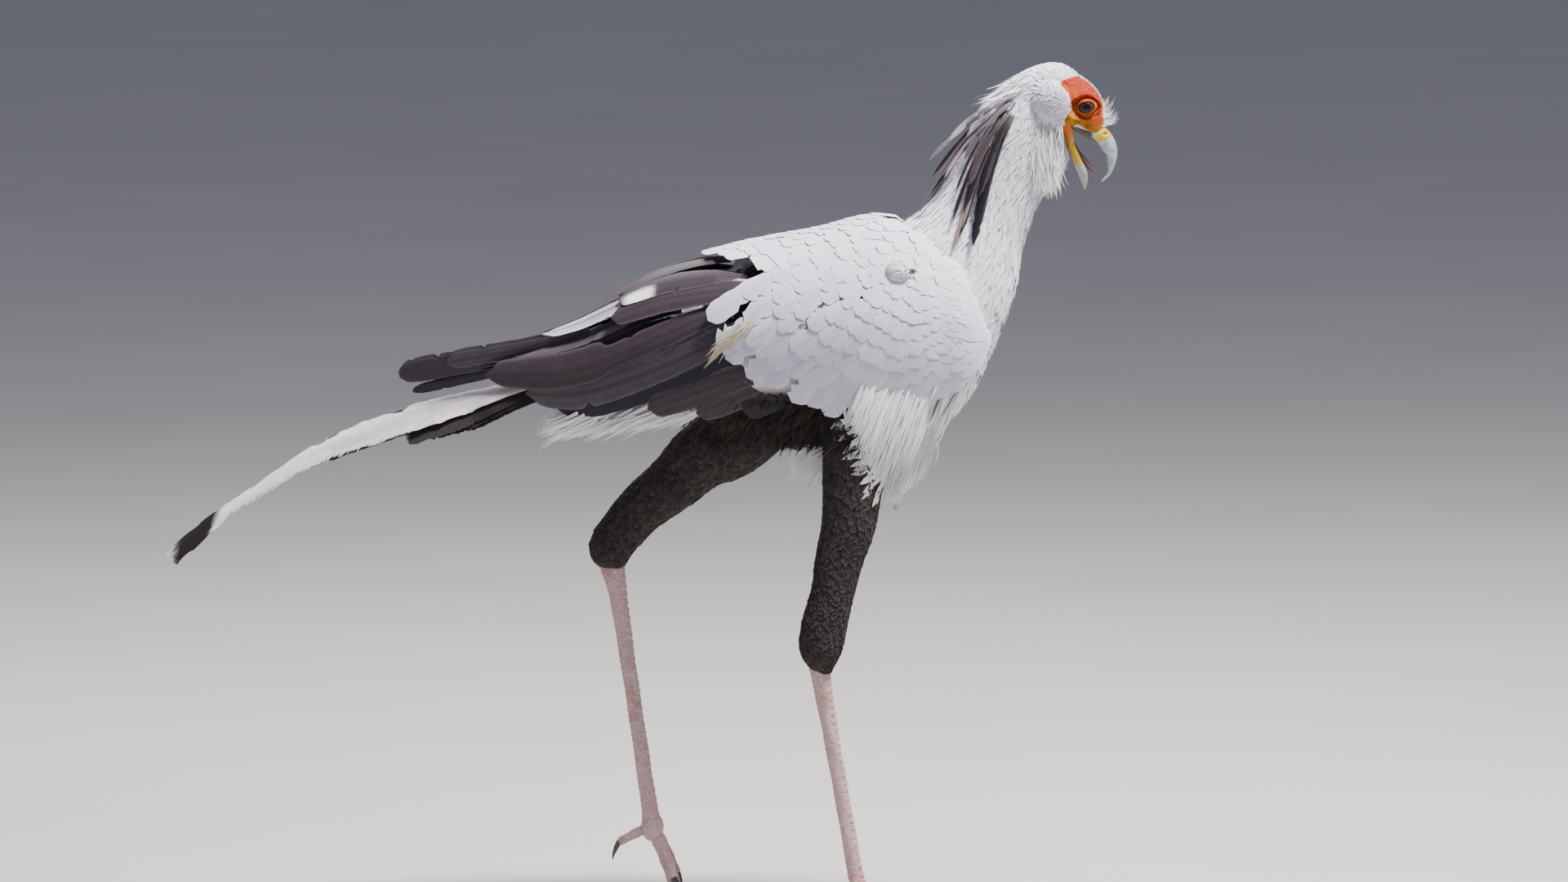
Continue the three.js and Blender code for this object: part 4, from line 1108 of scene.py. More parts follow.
vaneColumns = np.array([-1, -0.8, -0.55, -0.28, 0, 0.28, 0.55, 0.8, 1])
vaneShapes = {
    "blunt": smoothTable([[0, 0.4], [0.3, 0.85], [0.65, 1], [0.86, 0.93], [0.95, 0.7], [1, 0.22]]),
    "round": smoothTable([[0, 0.4], [0.3, 0.8], [0.65, 1], [0.85, 0.98], [0.95, 0.75], [1, 0.3]]),
    "pointed": smoothTable([[0, 0.4], [0.3, 0.9], [0.6, 1], [0.85, 0.62], [1, 0.1]]),
}


def ragged(rows, amount, splits, seed):
    # how far each point of a vane reaches: rough edges, with a few gaps where barbs have parted
    own = np.random.default_rng(seed)
    edges = []
    for _ in range(2):
        rough = np.ones(rows) + own.normal(0, amount, rows)
        for _ in range(own.poisson(splits)):
            at = own.integers(int(rows * 0.35), rows - 1)
            rough[at] -= own.uniform(0.1, 0.35)
        edges.append(rough[:, None])
    return 1 + (np.where(vaneColumns < 0, *edges) - 1) * np.abs(vaneColumns) ** 3


bakeCells = {"next": 0}


def bakeCell(rows, columns, many=16):
    # each long feather has its own cell in a grid
    spot = bakeCells["next"] % (many * many)
    bakeCells["next"] += 1
    u, v = (spot % many) / many, (spot // many) / many
    across, along = np.meshgrid(np.linspace(0.06, 0.94, columns), np.linspace(0.04, 0.96, rows))
    return np.stack([u + across / many, v + along / many], -1)


def wingVane(vanes, side, feather, color):
    # one feather from root to tip in side view; the lift is off the wing's own surface
    root, tip, half = feather["root"], feather["tip"], feather["half"]
    start, end = feather.get("ends") or ((root[0], aroundAt(*root)), (tip[0], aroundAt(*tip)))
    t = np.linspace(0, 1, vanes.rows)[:, None]
    rough = ragged(vanes.rows, feather["rough"], feather["splits"], feather["seed"])
    off = vaneColumns[None, :]
    t = t * (1 - 0.05 * off ** 2 * t ** 3)
    bow = feather.get("bow", 0) * np.sin(math.pi * t)
    x, around = start[0] + (end[0] - start[0]) * t, start[1] + (end[1] - start[1]) * t
    step = roundStep(side, x, around)
    runX, runRound = end[0] - start[0], (end[1] - start[1]) * step
    run = np.hypot(runX, runRound)
    reach = off * half * readOne(vaneShapes[feather["shape"]], t) * rough + bow
    x = x + reach * runRound / run
    around = around - reach * runX / run / step
    lift = np.interp(t, [0, feather["rise"][0], 1], [feather["deep"], feather["rise"][1], feather["height"]])
    lift = lift + feather["tilt"] * off - feather["camber"] * off ** 2
    if feather.get("settled"):
        lift = lift + settle(side, x, around)
    points = wingPoint(side, x, np.clip(around, -1.25, 0.999), lift)
    points[..., 1] = side * np.maximum(side * points[..., 1], 0.4)
    length = run.mean() if "ends" in feather else np.hypot(tip[0] - root[0], tip[1] - root[1])
    own = np.random.default_rng(feather["seed"]).random()
    layVane(vanes, points, t * length, length, reach, own, partial(color, feather))


def layVane(vanes, points, along, length, reach, own, color):
    # color takes millimetres from the root and to the tip, the share across, and the feather's own number
    ones = np.ones(points.shape[:2])
    along, reach, own, off = along * ones, reach * ones, own * ones, vaneColumns * ones
    paint = color(along, length - along, off, own)
    vanes.add(points, np.stack([along, reach, own], -1), paint, bakeCell(*ones.shape))


# Coverts fan from the shoulder: how far out the free edge lies, and how the fan dips, at each angle.
shoulder = (330, 736)
covertReach = smoothTable([
    [188, 258], [197, 266], [207, 264], [217, 241], [228, 222], [240, 221],
    [247, 208], [257, 178], [270, 152], [280, 134], [292, 106],
])
covertDip = smoothTable([[190, 0], [205, -0.6], [228, -4.5], [262, -4.5], [290, -2]])
covertLie = 228


def settle(side, x, around):
    z = wingSurface(side, x, around)[..., 2]
    reach = np.hypot(x - shoulder[0], z - shoulder[1])
    angle = np.degrees(np.arctan2(z - shoulder[1], x - shoulder[0])) % 360
    return readOne(covertDip, angle) * ease(reach, 90, 220)


# Tiers of coverts from the free edge up to the shoulder: how many, how far out, length, half width,
# height, and the first and last angle.
covertTiers = [
    [17, 1.0, 92, 13.5, -1.6, 194, 284],
    [19, 0.87, 80, 12, -1.2, 191, 284],
    [20, 0.75, 70, 11, -0.9, 188, 285],
    [20, 0.64, 60, 10, -0.6, 186, 286],
    [20, 0.54, 52, 9.5, -0.4, 183, 288],
    [19, 0.45, 46, 9, -0.2, 180, 290],
    [18, 0.36, 40, 8.5, 0.0, 178, 292],
    [16, 0.28, 36, 8, 0.2, 175, 296],
    [13, 0.2, 32, 7.5, 0.4, 170, 300],
    [10, 0.12, 30, 7, 0.6, 165, 310],
]


def covertColor(feather, along, toTip, off, own):
    low = feather["shade"]
    base = blendOf(colors["covertGrey"], colors["white"], 0.3 + 0.25 * own - 0.3 * low)
    base = blendOf(base, colors["warmGrey"], 0.32 * low * ease(along, 4, 40) * (1 - 0.6 * ease(toTip, 0, 16)))
    edge = ease(np.abs(off), 0.6, 1) * 0.35
    base = blendOf(base, colors["white"], edge)
    shaft = (1 - ease(np.abs(off), 0.0, 0.12)) * feather["quill"]
    return blendOf(base, (0.28, 0.22, 0.22), shaft * ease(toTip, 2, 14))


def covertFeathers(vanes, side):
    firstSeed = 500 if side == right else 900
    for row, (many, share, length, half, height, first, last) in enumerate(covertTiers):
        for i in range(many):
            seed = firstSeed + row * 40 + i
            own = np.random.default_rng(seed)
            angle = first + (last - first) * (i + own.uniform(-0.25, 0.25)) / (many - 1)
            reach = readOne(covertReach, angle) * share * own.uniform(0.97, 1.02)
            out = math.radians(angle)
            lie = math.radians(angle + (covertLie - angle) * 0.7 + own.normal(0, 3.5))
            tip = (shoulder[0] + reach * math.cos(out), shoulder[1] + reach * math.sin(out))
            shorten = 1 - 0.4 * ease(angle, 252, 283)
            long = length * shorten * own.uniform(0.94, 1.08)
            root = (tip[0] - long * math.cos(lie), tip[1] - long * math.sin(lie))
            wingVane(vanes, side, {
                "root": root, "tip": tip, "half": half * own.uniform(0.92, 1.1), "shape": "round",
                "deep": -8, "rise": (0.35, height - 0.9), "height": height + own.uniform(-0.25, 0.25),
                "tilt": -0.25, "camber": 0.45, "settled": True, "rough": 0.06, "splits": 2.6, "seed": seed,
                "shade": 1 - row / 7 + own.uniform(-0.2, 0.2), "bow": own.normal(0, 0.7),
                "quill": (0.4 if own.random() < 0.3 else 0.08) * max(1 - row / 4, 0.1),
            }, covertColor)


# Shoulder feathers lie over the roots of the inner flight feathers: how far round, and where the last
# tips end.
scapularRows = [
    [0.36, 142], [0.46, 132], [0.56, 118], [0.65, 104], [0.74, 86], [0.83, 70], [0.91, 62], [0.97, 60],
]


def scapularFeathers(vanes, side):
    for row, (around, last) in enumerate(scapularRows):
        for i in range(9):
            seed = 60 + row * 20 + i
            own = np.random.default_rng(seed)
            tipX = last + i * 22 + own.uniform(-5, 5) + (row % 2) * 9
            long = 74 - i * 4
            if tipX + long > 372:
                continue
            tip = (tipX, around + own.uniform(-0.015, 0.015))
            root = (tipX + long, min(around + 0.02, 0.985))
            height = -1.4 + i * 0.35 + row * 0.12
            wingVane(vanes, side, {
                "root": root, "tip": tip, "ends": (root, tip), "half": 13 if i < 3 else 10,
                "shape": "round", "deep": -8, "rise": (0.35, height - 1.4), "height": height,
                "tilt": -0.3, "camber": 0.6, "rough": 0.05, "splits": 2.5, "seed": seed,
                "shade": 0.1, "quill": 0.06,
            }, covertColor)


# Flight feathers, innermost layer first: root, tip, half width, outline and colour.
flightRows = [
    [24, 676, -272, 602, 13, "pointed", "slate"],
    [36, 690, -238, 614, 14, "pointed", "slate"],
    [48, 702, -201, 624, 14, "pointed", "pale"],
    [168, 590, 108, 563, 15, "blunt", "navy"],
    [160, 602, 56, 561, 16, "blunt", "brown"],
    [154, 620, 2, 567, 17, "blunt", "brown"],
    [140, 653, -104, 570, 18, "blunt", "navy"],
    [134, 676, -132, 582, 18, "blunt", "grey"],
    [128, 702, -177, 603, 19, "blunt", "brown"],
    [132, 716, -114, 653, 13, "blunt", "white"],
    [134, 710, -38, 672, 18, "blunt", "brown"],
    [104, 724, -30, 690, 16, "blunt", "patched"],
    [94, 743, -68, 698, 15, "pointed", "brown"],
]
flight = {"layer": 1.2, "depth": -19}
flightTones = {
    "slate": (0.03, 0.024, 0.034), "navy": (0.011, 0.009, 0.019), "brown": (0.040, 0.028, 0.036),
    "grey": (0.058, 0.048, 0.062), "pale": (0.09, 0.075, 0.095), "white": (0.52, 0.47, 0.55),
    "patched": (0.042, 0.032, 0.042),
}


def flightColor(feather, along, toTip, off, own):
    tone = feather["tone"]
    base = blendOf(flightTones[tone], (0.02, 0.015, 0.02), 0.3 * own)
    if tone in ("brown", "grey"):
        base = blendOf(base, (0.10, 0.085, 0.11), 0.3 * (1 - ease(np.abs(off), 0.0, 0.5)))
    shaft = 1 - ease(np.abs(off), 0.0, 0.09)
    base = blendOf(base, (0.03, 0.02, 0.024), shaft * 0.8)
    if tone == "white":
        middle = ease(along, 60, 150) * (1 - ease(np.abs(off + 0.1), 0.1, 0.6)) * 0.3
        dusky = middle + (1 - ease(along, 60, 130)) * 0.7
        base = blendOf(base, (0.2, 0.17, 0.2), np.clip(dusky, 0, 1))
        bright = ease(np.abs(off), 0.7, 1) * 0.8 + (1 - ease(toTip, 0, 8)) * 0.4
        base = blendOf(base, (0.8, 0.78, 0.84), bright)
    if tone == "patched":
        patch = ease(-off, -0.2, 0.25) * ease(along, 92, 104) * (1 - ease(along, 124, 136))
        base = blendOf(base, (0.85, 0.82, 0.88), patch)
    rim = ease(np.abs(off), 0.9, 1) * (0 if tone == "navy" else 0.15)
    return blendOf(base, (0.3, 0.26, 0.28), rim)


# Folded outer flight feathers stand on edge beside the tail: x and z along each, half width, how far out.
primaryRows = [
    [[-97, 643], [-170, 621], [-224, 612], [-269, 604], 12.5, 15, "slate"],
    [[-97, 625], [-161, 606], [-206, 596], [-254, 585], 5, 12, "navy"],
    [[-60, 655], [-130, 634], [-180, 624], [-216, 618], 9, 19, "grey"],
]


def primaryBlades(vanes, side):
    off = vaneColumns[None, :]
    for i, (*knots, half, out, tone) in enumerate(primaryRows):
        line = evenTable(knots)(np.linspace(0, 1, vanes.rows))
        run = unit(np.gradient(line, axis=0))
        t = np.linspace(0, 1, vanes.rows)[:, None] * np.ones_like(off)
        reach = off * half * readOne(vaneShapes["round"], t) * ragged(vanes.rows, 0.012, 0.8, 820 + i)
        x = line[:, :1] - reach * run[:, 1:]
        z = line[:, 1:] + reach * run[:, :1]
        y = side * (out - 0.25 * reach - 0.8 * off ** 2)
        points = np.stack([x, y, z], -1)
        length = np.linalg.norm(np.diff(line, axis=0), axis=1).sum()
        color = partial(flightColor, {"tone": tone})
        layVane(vanes, points, t * length, length, reach, 0.2 + 0.3 * i, color)


def flightFeathers(vanes, side):
    depth = flight["depth"]
    for i, (rootX, rootZ, tipX, tipZ, half, shape, tone) in enumerate(flightRows):
        stacked = i * flight["layer"]
        wingVane(vanes, side, {
            "root": (rootX, rootZ), "tip": (tipX, tipZ), "half": half, "shape": shape, "tone": tone,
            "deep": depth - 3.5 + (stacked * 0.7 if i > 5 else 0), "rise": (0.2, depth - 2 + stacked),
            "height": depth + 2.4 + stacked, "tilt": -0.3, "camber": 0.7, "rough": 0.012, "splits": 0.8,
            "seed": 700 + i,
        }, flightColor)


for name, side in sides.items():
    coverts = Vanes(16, 9)
    covertFeathers(coverts, side)
    scapularFeathers(coverts, side)
    coverts.build("coverts_" + name, "covert", "wing_" + name + "_coverts", slot="plumage")
    flights = Vanes(44, 9)
    flightFeathers(flights, side)
    primaryBlades(flights, side)
    flights.build("flights_" + name, "flight", "wing_" + name + "_flight", slot="flight_feathers")


# Tail: the middle pair far the longest, each side sloping like a roof.

tailLine = evenTable([
    [-84, 612], [-170, 592], [-206, 585], [-268, 568], [-331, 544], [-372, 523], [-434, 480],
    [-476, 452], [-527, 411],
])
tailLength = 470
tailPairs = [
    {"reach": 1, "half": 13.5, "fold": 56},
    {"reach": 0.6, "half": 11.5, "fold": 55},
    {"reach": 0.39, "half": 17, "fold": 60},
    {"reach": 0.34, "half": 17, "fold": 62},
    {"reach": 0.27, "half": 16, "fold": 64},
]
tailSpread = smoothTable([[-520, 1], [-200, 1], [-150, 0.62], [-100, 0.4], [-60, 0.36]])
tailTapers = [
    smoothTable([
        [0, 1], [0.35, 1], [0.7, 0.66], [0.8, 0.6], [0.88, 0.9], [0.95, 1.05], [0.985, 0.85], [1, 0.35],
    ]),
    smoothTable([[0, 1], [0.8, 1], [0.93, 0.85], [0.985, 0.5], [1, 0.15]]),
]


def tailColor(i, along, toTip, off, own):
    if i == 0:
        base = blendOf((0.6, 0.56, 0.58), (0.78, 0.75, 0.77), ease(along, 60, 330))
        dusky = (1 - ease(np.abs(off - 0.1), 0.2, 0.75)) * (1 - ease(along, 230, 330)) * 0.6
        base = blendOf(base, (0.42, 0.37, 0.36), dusky)
        band = ease(toTip, 6, 10) * (1 - ease(toTip + off * 6, 58, 70))
        return blendOf(base, (0.02, 0.015, 0.018), band)
    base = blendOf((0.6, 0.56, 0.58), (0.025, 0.02, 0.024), 1.0 if i > 1 else ease(along, 120, 175))
    return blendOf(base, (0.86, 0.84, 0.87), 1 - ease(toTip, 10, 15))


def tailAt(t):
    # the tail's line and its direction, in the middle plane
    spot, ahead = tailLine(t), tailLine(t + 0.01) - tailLine(t - 0.01)
    return spot[..., [0, 0, 1]] * (1, 0, 1), unit(ahead[..., [0, 0, 1]] * (1, 0, 1))


def tailOutward(pair, side):
    slope = math.radians(pair["fold"])
    return np.array([0, side * math.cos(slope), -math.sin(slope)])


def tailFeathers():
    vanes = Vanes(60, 9)
    off = vaneColumns[None, :]
    steps = np.linspace(0, 1, vanes.rows)[:, None]
    for side in sides.values():
        for i, pair in enumerate(tailPairs):
            longest = i == 0
            outward = tailOutward(pair, side)
            t = steps * (1 - 0.03 * off ** 2 * steps ** 4)
            centre, tangent = tailAt(t * pair["reach"])
            normal = unit(np.cross(tangent, outward))
            normal = normal * np.sign(normal[..., 2:3])
            half = pair["half"] * readOne(tailTapers[min(i, 1)], t) * readOne(tailSpread, centre[..., 0])
            roughness, splits = (0.05, 9) if longest else (0.03, 2)
            reach = off * ragged(vanes.rows, roughness, splits, 40 + i + (10 if side == left else 0))
            lower = 1 + i * 1.5
            out = half * (reach + 1) + 0.6 + (lower + 0.4) * math.tan(math.radians(pair["fold"]))
            wavy = 1.2 * np.sin(t * 23) * (off > 0) * off if longest else 0
            height = -lower - 0.7 * off ** 2 + wavy
            points = centre + outward * out[..., None] + normal * height[..., None]
            length = tailLength * pair["reach"]
            own = np.random.default_rng(80 + i).random()
            layVane(vanes, points, t * length, length, half * reach, own, partial(tailColor, i))
    vanes.build("tail_feathers", "flight", "tail", slot="tail_feathers")


tailFeathers()


# Crest: long feathers with broad ends, rooted round the nape.
# Root x and z, tip x and z, half width, how far out the tip stands, layer, tone.

crestRows = [
    [412, 916, 313, 840, 2.6, 10, 2, "grey"],
    [406, 913, 335, 862, 3.4, 16, 1, "pale"],
    [404, 909, 321, 817, 2.8, 22, 2, "brown"],
    [402, 905, 301, 781, 2.1, 22, 3, "brown"],
    [398, 902, 342, 806, 1.9, 28, 3, "black"],
    [404, 906, 352, 842, 4.0, 26, 2, "grey"],
    [398, 900, 339, 777, 3.2, 32, 3, "black"],
    [402, 900, 346, 759, 5.0, 36, 4, "black"],
    [404, 898, 352, 790, 5.0, 34, 5, "black"],
    [406, 896, 366, 800, 5.2, 36, 6, "black"],
    [400, 892, 339, 744, 2.4, 38, 3, "tan"],
    [404, 890, 361, 749, 6.2, 38, 5, "black"],
    [404, 888, 368, 770, 4.4, 38, 4, "grey"],
    [404, 908, 330, 822, 2.0, 24, 1, "pale"],
    [408, 894, 372, 812, 5.0, 36, 6, "black"],
    [404, 898, 357, 815, 4.4, 32, 5, "brown"],
    [410, 908, 368, 862, 3.0, 24, 3, "grey"],
    [402, 902, 349, 768, 2.2, 34, 5, "tan"],
]
crestTones = {
    "grey": (0.13, 0.105, 0.13), "brown": (0.06, 0.045, 0.05), "black": (0.013, 0.010, 0.015),
    "pale": (0.26, 0.23, 0.27), "tan": (0.23, 0.17, 0.14),
}
crestWidth = smoothTable([[0, 0.4], [0.3, 0.55], [0.72, 1], [0.9, 0.75], [1, 0.06]])


def seenSkin(x, side, z, start):
    # where a look from one side meets the skin, and the normal there
    spot, normal, _, _ = skinTree.ray_cast(Vector((x, side * start, z)), Vector((0, -side, 0)))
    return (None, None) if spot is None else (np.array(spot), np.array(normal))


def skinOut(x, z, side):
    # how far out the skin lies at a point of the side view
    spot, _ = seenSkin(x, side, z, 120)
    return abs(spot[1]) if spot is not None and spot[1] * side > 0 else 0.0


def crestColor(half, tone, along, toTip, off, own):
    rim = ease(np.abs(off), 0.65, 1) * (0.5 if half < 4 else 0.16)
    base = blendOf(crestTones[tone], (0.4, 0.36, 0.38), rim)
    return blendOf(base, (0.7, 0.68, 0.72), (1 - ease(along / (along + toTip), 0.02, 0.12)) * 0.7)


def crestFeathers():
    vanes = Vanes(26, 9)
    steps = np.linspace(0, 1, vanes.rows)[:, None]
    for side in sides.values():
        for i, (rootX, rootZ, tipX, tipZ, half, stand, layer, tone) in enumerate(crestRows):
            slip = 4 * math.sin(i * 2.7) if side == left else 0
            lift = 1.3 + layer * 1.15
            knots = []
            for t in (0, 0.1, 0.25, 0.45, 0.65, 0.85, 1):
                x = rootX + (tipX + slip - rootX) * t - 5 * math.sin(math.pi * t)
                z = rootZ + (tipZ - slip - rootZ) * t + 3 * math.sin(math.pi * t)
                there = max(skinOut(x, z, side), skinOut(x + 3, z - 3, side)) + 3.5
                out = there - 5 if t == 0 else max(there + lift * min(t * 4, 1), there + (stand - there) * t)
                knots.append([x, side * out, z])
            line = evenTable(knots)(steps[:, 0])
            tangent = unit(np.gradient(line, axis=0))
            sideways = unit(np.cross(tangent, unit(np.array([-0.45, side, 0.3]))))
            normal = np.cross(sideways, tangent)
            off = vaneColumns[None, :]
            wide = half * readOne(crestWidth, steps)
            reach = wide * off * ragged(vanes.rows, 0.04, 1.5, 20 + i + (30 if side == left else 0))
            height = -0.22 * wide * off ** 2
            across = sideways[:, None] * reach[..., None]
            points = line[:, None] + across + normal[:, None] * height[..., None]
            length = math.hypot(tipX - rootX, tipZ - rootZ)
            own = np.random.default_rng(i).random()
            layVane(vanes, points, steps * length, length, reach, own, partial(crestColor, half, tone))
    vanes.build("crest_feathers", "crest", "crest", slot="crest_feathers")


crestFeathers()
print("long feathers")


# Eyes, bill and tongue

def eyeFinish():
    shop = Finish("eye")
    gaze = shop.layer("gaze")
    fibres = shop.noise(shop.place(), 1.6, 3, 0.6)
    iris = shop.mix((0.022, 0.013, 0.010), (0.05, 0.032, 0.028), fibres)
    color = shop.mix((0.003, 0.003, 0.004), iris, shop.clamped(gaze, 23, 25))
    color = shop.mix(color, (0.02, 0.014, 0.012), shop.clamped(gaze, 47, 53))
    return shop.surface({
        "Base Color": color, "Roughness": 0.3, "Specular IOR Level": 0.1,
        "Coat Weight": 0.35, "Coat Roughness": 0.03,
    })


def buildEyes():
    finish = eyeFinish()
    radius = face["eyeRadius"] - 0.25
    eyeForward, eyeHigh, eyeOut = face["eye"]
    for name, side in sides.items():
        points, faces = ballShape(np.zeros(3), (radius, radius, radius), 0, 48, 41)
        # the pole of the ball looks outward, and gaze is the angle off it in degrees
        outward = points[:, 0] / radius
        gaze = np.degrees(np.arccos(np.clip(outward, -1, 1)))
        cornea = ease(outward, 0.72, 1) * 0.5
        ball = np.stack([points[:, 1], side * (points[:, 0] + cornea), points[:, 2]], -1)
        if side == left:
            faces = [corners[::-1] for corners in faces]
        points = ball + headPoint(eyeForward, eyeHigh, side * eyeOut)
        piece = meshObject("eye_ball_" + name, points, faces, finish, {"gaze": gaze})
        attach(piece, "root")
        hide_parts("eye_" + name)


# Bill: forward and up in the head's frame, half width, over, under.
billRows = [
    [60, -1.5, 15, 2, 2.5], [70, 0, 14.5, 3.5, 5], [80, 0, 13.5, 5.5, 5.4], [95, 4, 11.5, 12.5, 9.2],
    [106, 5, 10, 11.5, 9.4], [117, 1, 8, 10, 8], [125, -5, 6, 7.5, 6.5], [131, -13, 4, 4.5, 4],
    [134.5, -22, 2.4, 2.2, 2], [133.5, -33, 0.7, 0.7, 0.7],
]
sharpEdge = 0.42
nostril = {"at": (105.5, 12.5), "half": (3.6, 1.3), "tilt": 52}
cere = {"at": (102.5, 13), "half": (9.5, 9.5)}


def billFinish():
    shop = Finish("bill")
    here = shop.place()
    forward, up, mouth = shop.parts(shop.layer("bill", "Vector"))
    grain = shop.noise(here, 0.5, 3, 0.6)
    streaks = shop.noise(shop.join(forward * 0.5, up * 0.5, 0.0), 0.35, 3, 0.6)
    horn = shop.mix((0.22, 0.27, 0.36), (0.44, 0.47, 0.52), shop.clamped(streaks, 0.3, 0.75))
    horn = shop.mix(horn, (0.56, 0.47, 0.36), shop.clamped(up, -12, -26) * 0.7)
    gape = shop.mix((0.085, 0.075, 0.05), (0.05, 0.045, 0.035), grain)
    color = shop.mix(horn, gape, mouth)
    return shop.surface({
        "Base Color": color, "Roughness": 0.3 + mouth * 0.2, "Coat Weight": 0.25,
        "Normal": shop.bump(grain + streaks, 0.00025, 0.8),
    })


def cereFinish():
    shop = Finish("cere")
    here = shop.place()
    forward, _, mouth = shop.parts(shop.layer("bill", "Vector"))
    grain = shop.noise(here, 0.7, 3, 0.6)
    nose = shop.layer("nostril")
    color = shop.mix((0.52, 0.33, 0.0), (0.48, 0.24, 0.0), grain)
    color = shop.mix(color, (0.68, 0.20, 0.0), shop.clamped(forward, 99, 90) * 0.8)
    color = shop.mix(color, (0.085, 0.075, 0.05), mouth)
    # painted shade: the nostril pit is painted near black
    color = shop.mix(color, (0.03, 0.025, 0.01), shop.clamped(nose, 0.25, 0.75))
    return shop.surface({
        "Base Color": color, "Roughness": 0.5, "Normal": shop.bump(grain, 0.0005, 0.8),
    })


def chosenMesh(faces, chosen):
    # the chosen faces, and the numbers of the points they use
    kept = [face for face, keep in zip(faces, chosen) if keep]
    used = sorted({corner for face in kept for corner in face})
    number = {corner: i for i, corner in enumerate(used)}
    return np.array(used), [[number[corner] for corner in face] for face in kept]


def buildBill():
    rows, around = 110, 56
    read = evenTable(billRows)(np.linspace(0, 1, rows))
    centres = headPoint(read[:, 0], read[:, 1])
    points, faces = tubeShape(centres, *read[:, 2:].T, around)
    forward, up = headPlace(points)
    # hollow palate under the bill, and a sharp cutting edge beside it
    ring, turn = ringPlaces(rows, around)
    below = np.clip(-np.sin(turn), 0, 1)
    depth = read[ring, 4] * (1 - ease(ring, 84, 104))
    palate = 4.5 * np.clip(1 - (np.cos(turn) / 0.7) ** 2, 0, 1) * (below > 0)
    palate = palate * ease(ring, 4, 14) * (1 - ease(ring, 62, 92))
    points = points + headUp * (palate - depth * (below ** sharpEdge - below))[:, None]
    a, b = turned(forward - nostril["at"][0], up - nostril["at"][1], math.radians(nostril["tilt"]))
    nose = np.exp(-np.hypot(a / nostril["half"][0], b / nostril["half"][1]) ** 3)
    rim = hill(np.hypot(a / 5.4, b / 3.0), 1, 0.3)
    flank = np.abs(points[:, 1]) > 3
    points[:, 1] += np.sign(points[:, 1]) * (rim * 0.5 - nose * 1.8) * flank
    yellow = np.hypot((forward - cere["at"][0]) / cere["half"][0], (up - cere["at"][1]) / cere["half"][1])
    band = 5.6 - (forward - 76) * 0.1 - 4.6 * ease(forward, 102, 114)
    mouth = ease(band - up, -0.4, 0.8) * (1 - ease(forward, 118, 126))
    layers = {"bill": np.stack([forward, up, mouth], -1), "nostril": nose * (np.abs(points[:, 1]) > 3)}
    isCere = [yellow[corners].mean() < 1 or forward[corners].mean() < 92 for corners in faces]
    for name, finish, chosen, node, slot in (
        ("cere_skin", cereFinish(), isCere, "cere", "cere"),
        ("bill_horn", billFinish(), [not flag for flag in isCere], "bill_upper", "bill_horn"),
    ):
        used, kept = chosenMesh(faces, chosen)
        own = {key: value[used] for key, value in layers.items()}
        piece = meshObject(name, points[used], kept, finish, own)
        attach(piece, "root")
        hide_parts(node)


# Lower jaw, tongue and the fold at the corner of the mouth: x, y, z, half width, over, under.
jawRows = [
    [460, 0, 884, 15, 4, 4.2], [467.5, 0, 864, 12.5, 3.9, 4.2], [475.6, 0, 843, 9.5, 4.3, 4.8],
    [482.5, 0, 826, 7, 5.6, 5.2], [485, 0, 815, 3.6, 3.4, 3.4], [484.8, 0, 807.5, 1, 0.9, 0.9],
]
jawOpening = np.array([0.92, 0, 0.38])
tongueRows = [
    [468, 0, 868, 6, 2, 2], [476, 0, 851, 5, 2.2, 2.2], [487, 0, 836, 4, 2.8, 2.8],
    [495, 0, 827, 3, 2.6, 2.6], [500.5, 0, 820.5, 1.4, 1.5, 1.5],
]
gapeRows = [
    [464, 14, 896, 3, 3, 3], [465.5, 15, 886, 3.2, 3.2, 3.2], [468, 14.5, 873, 3, 3, 3.4],
    [470.5, 12.4, 860, 2.4, 2.6, 3.4],
]


def jawFinish():
    shop = Finish("jaw")
    here = shop.place()
    _, _, z = shop.parts(here)
    grain = shop.noise(here, 0.6, 3, 0.6)
    level = z + (grain - 0.5) * 6
    color = shop.mix((0.36, 0.35, 0.37), (0.52, 0.33, 0.0), shop.clamped(level, 832, 838))
    color = shop.mix(color, (0.66, 0.16, 0.0), shop.clamped(level, 854, 866))
    color = shop.mix(color, (0.20, 0.03, 0.02), shop.layer("trough") * 0.8)
    return shop.surface({
        "Base Color": color, "Roughness": 0.42, "Coat Weight": 0.2, "Normal": shop.bump(grain, 0.0005, 0.8),
    })


def tongueFinish():
    shop = Finish("tongue")
    grain = shop.noise(shop.place(), 0.8, 3, 0.6)
    color = shop.mix((0.085, 0.045, 0.055), (0.17, 0.10, 0.11), grain)
    return shop.surface({"Base Color": color, "Roughness": 0.35, "Normal": shop.bump(grain, 0.0004, 0.8)})


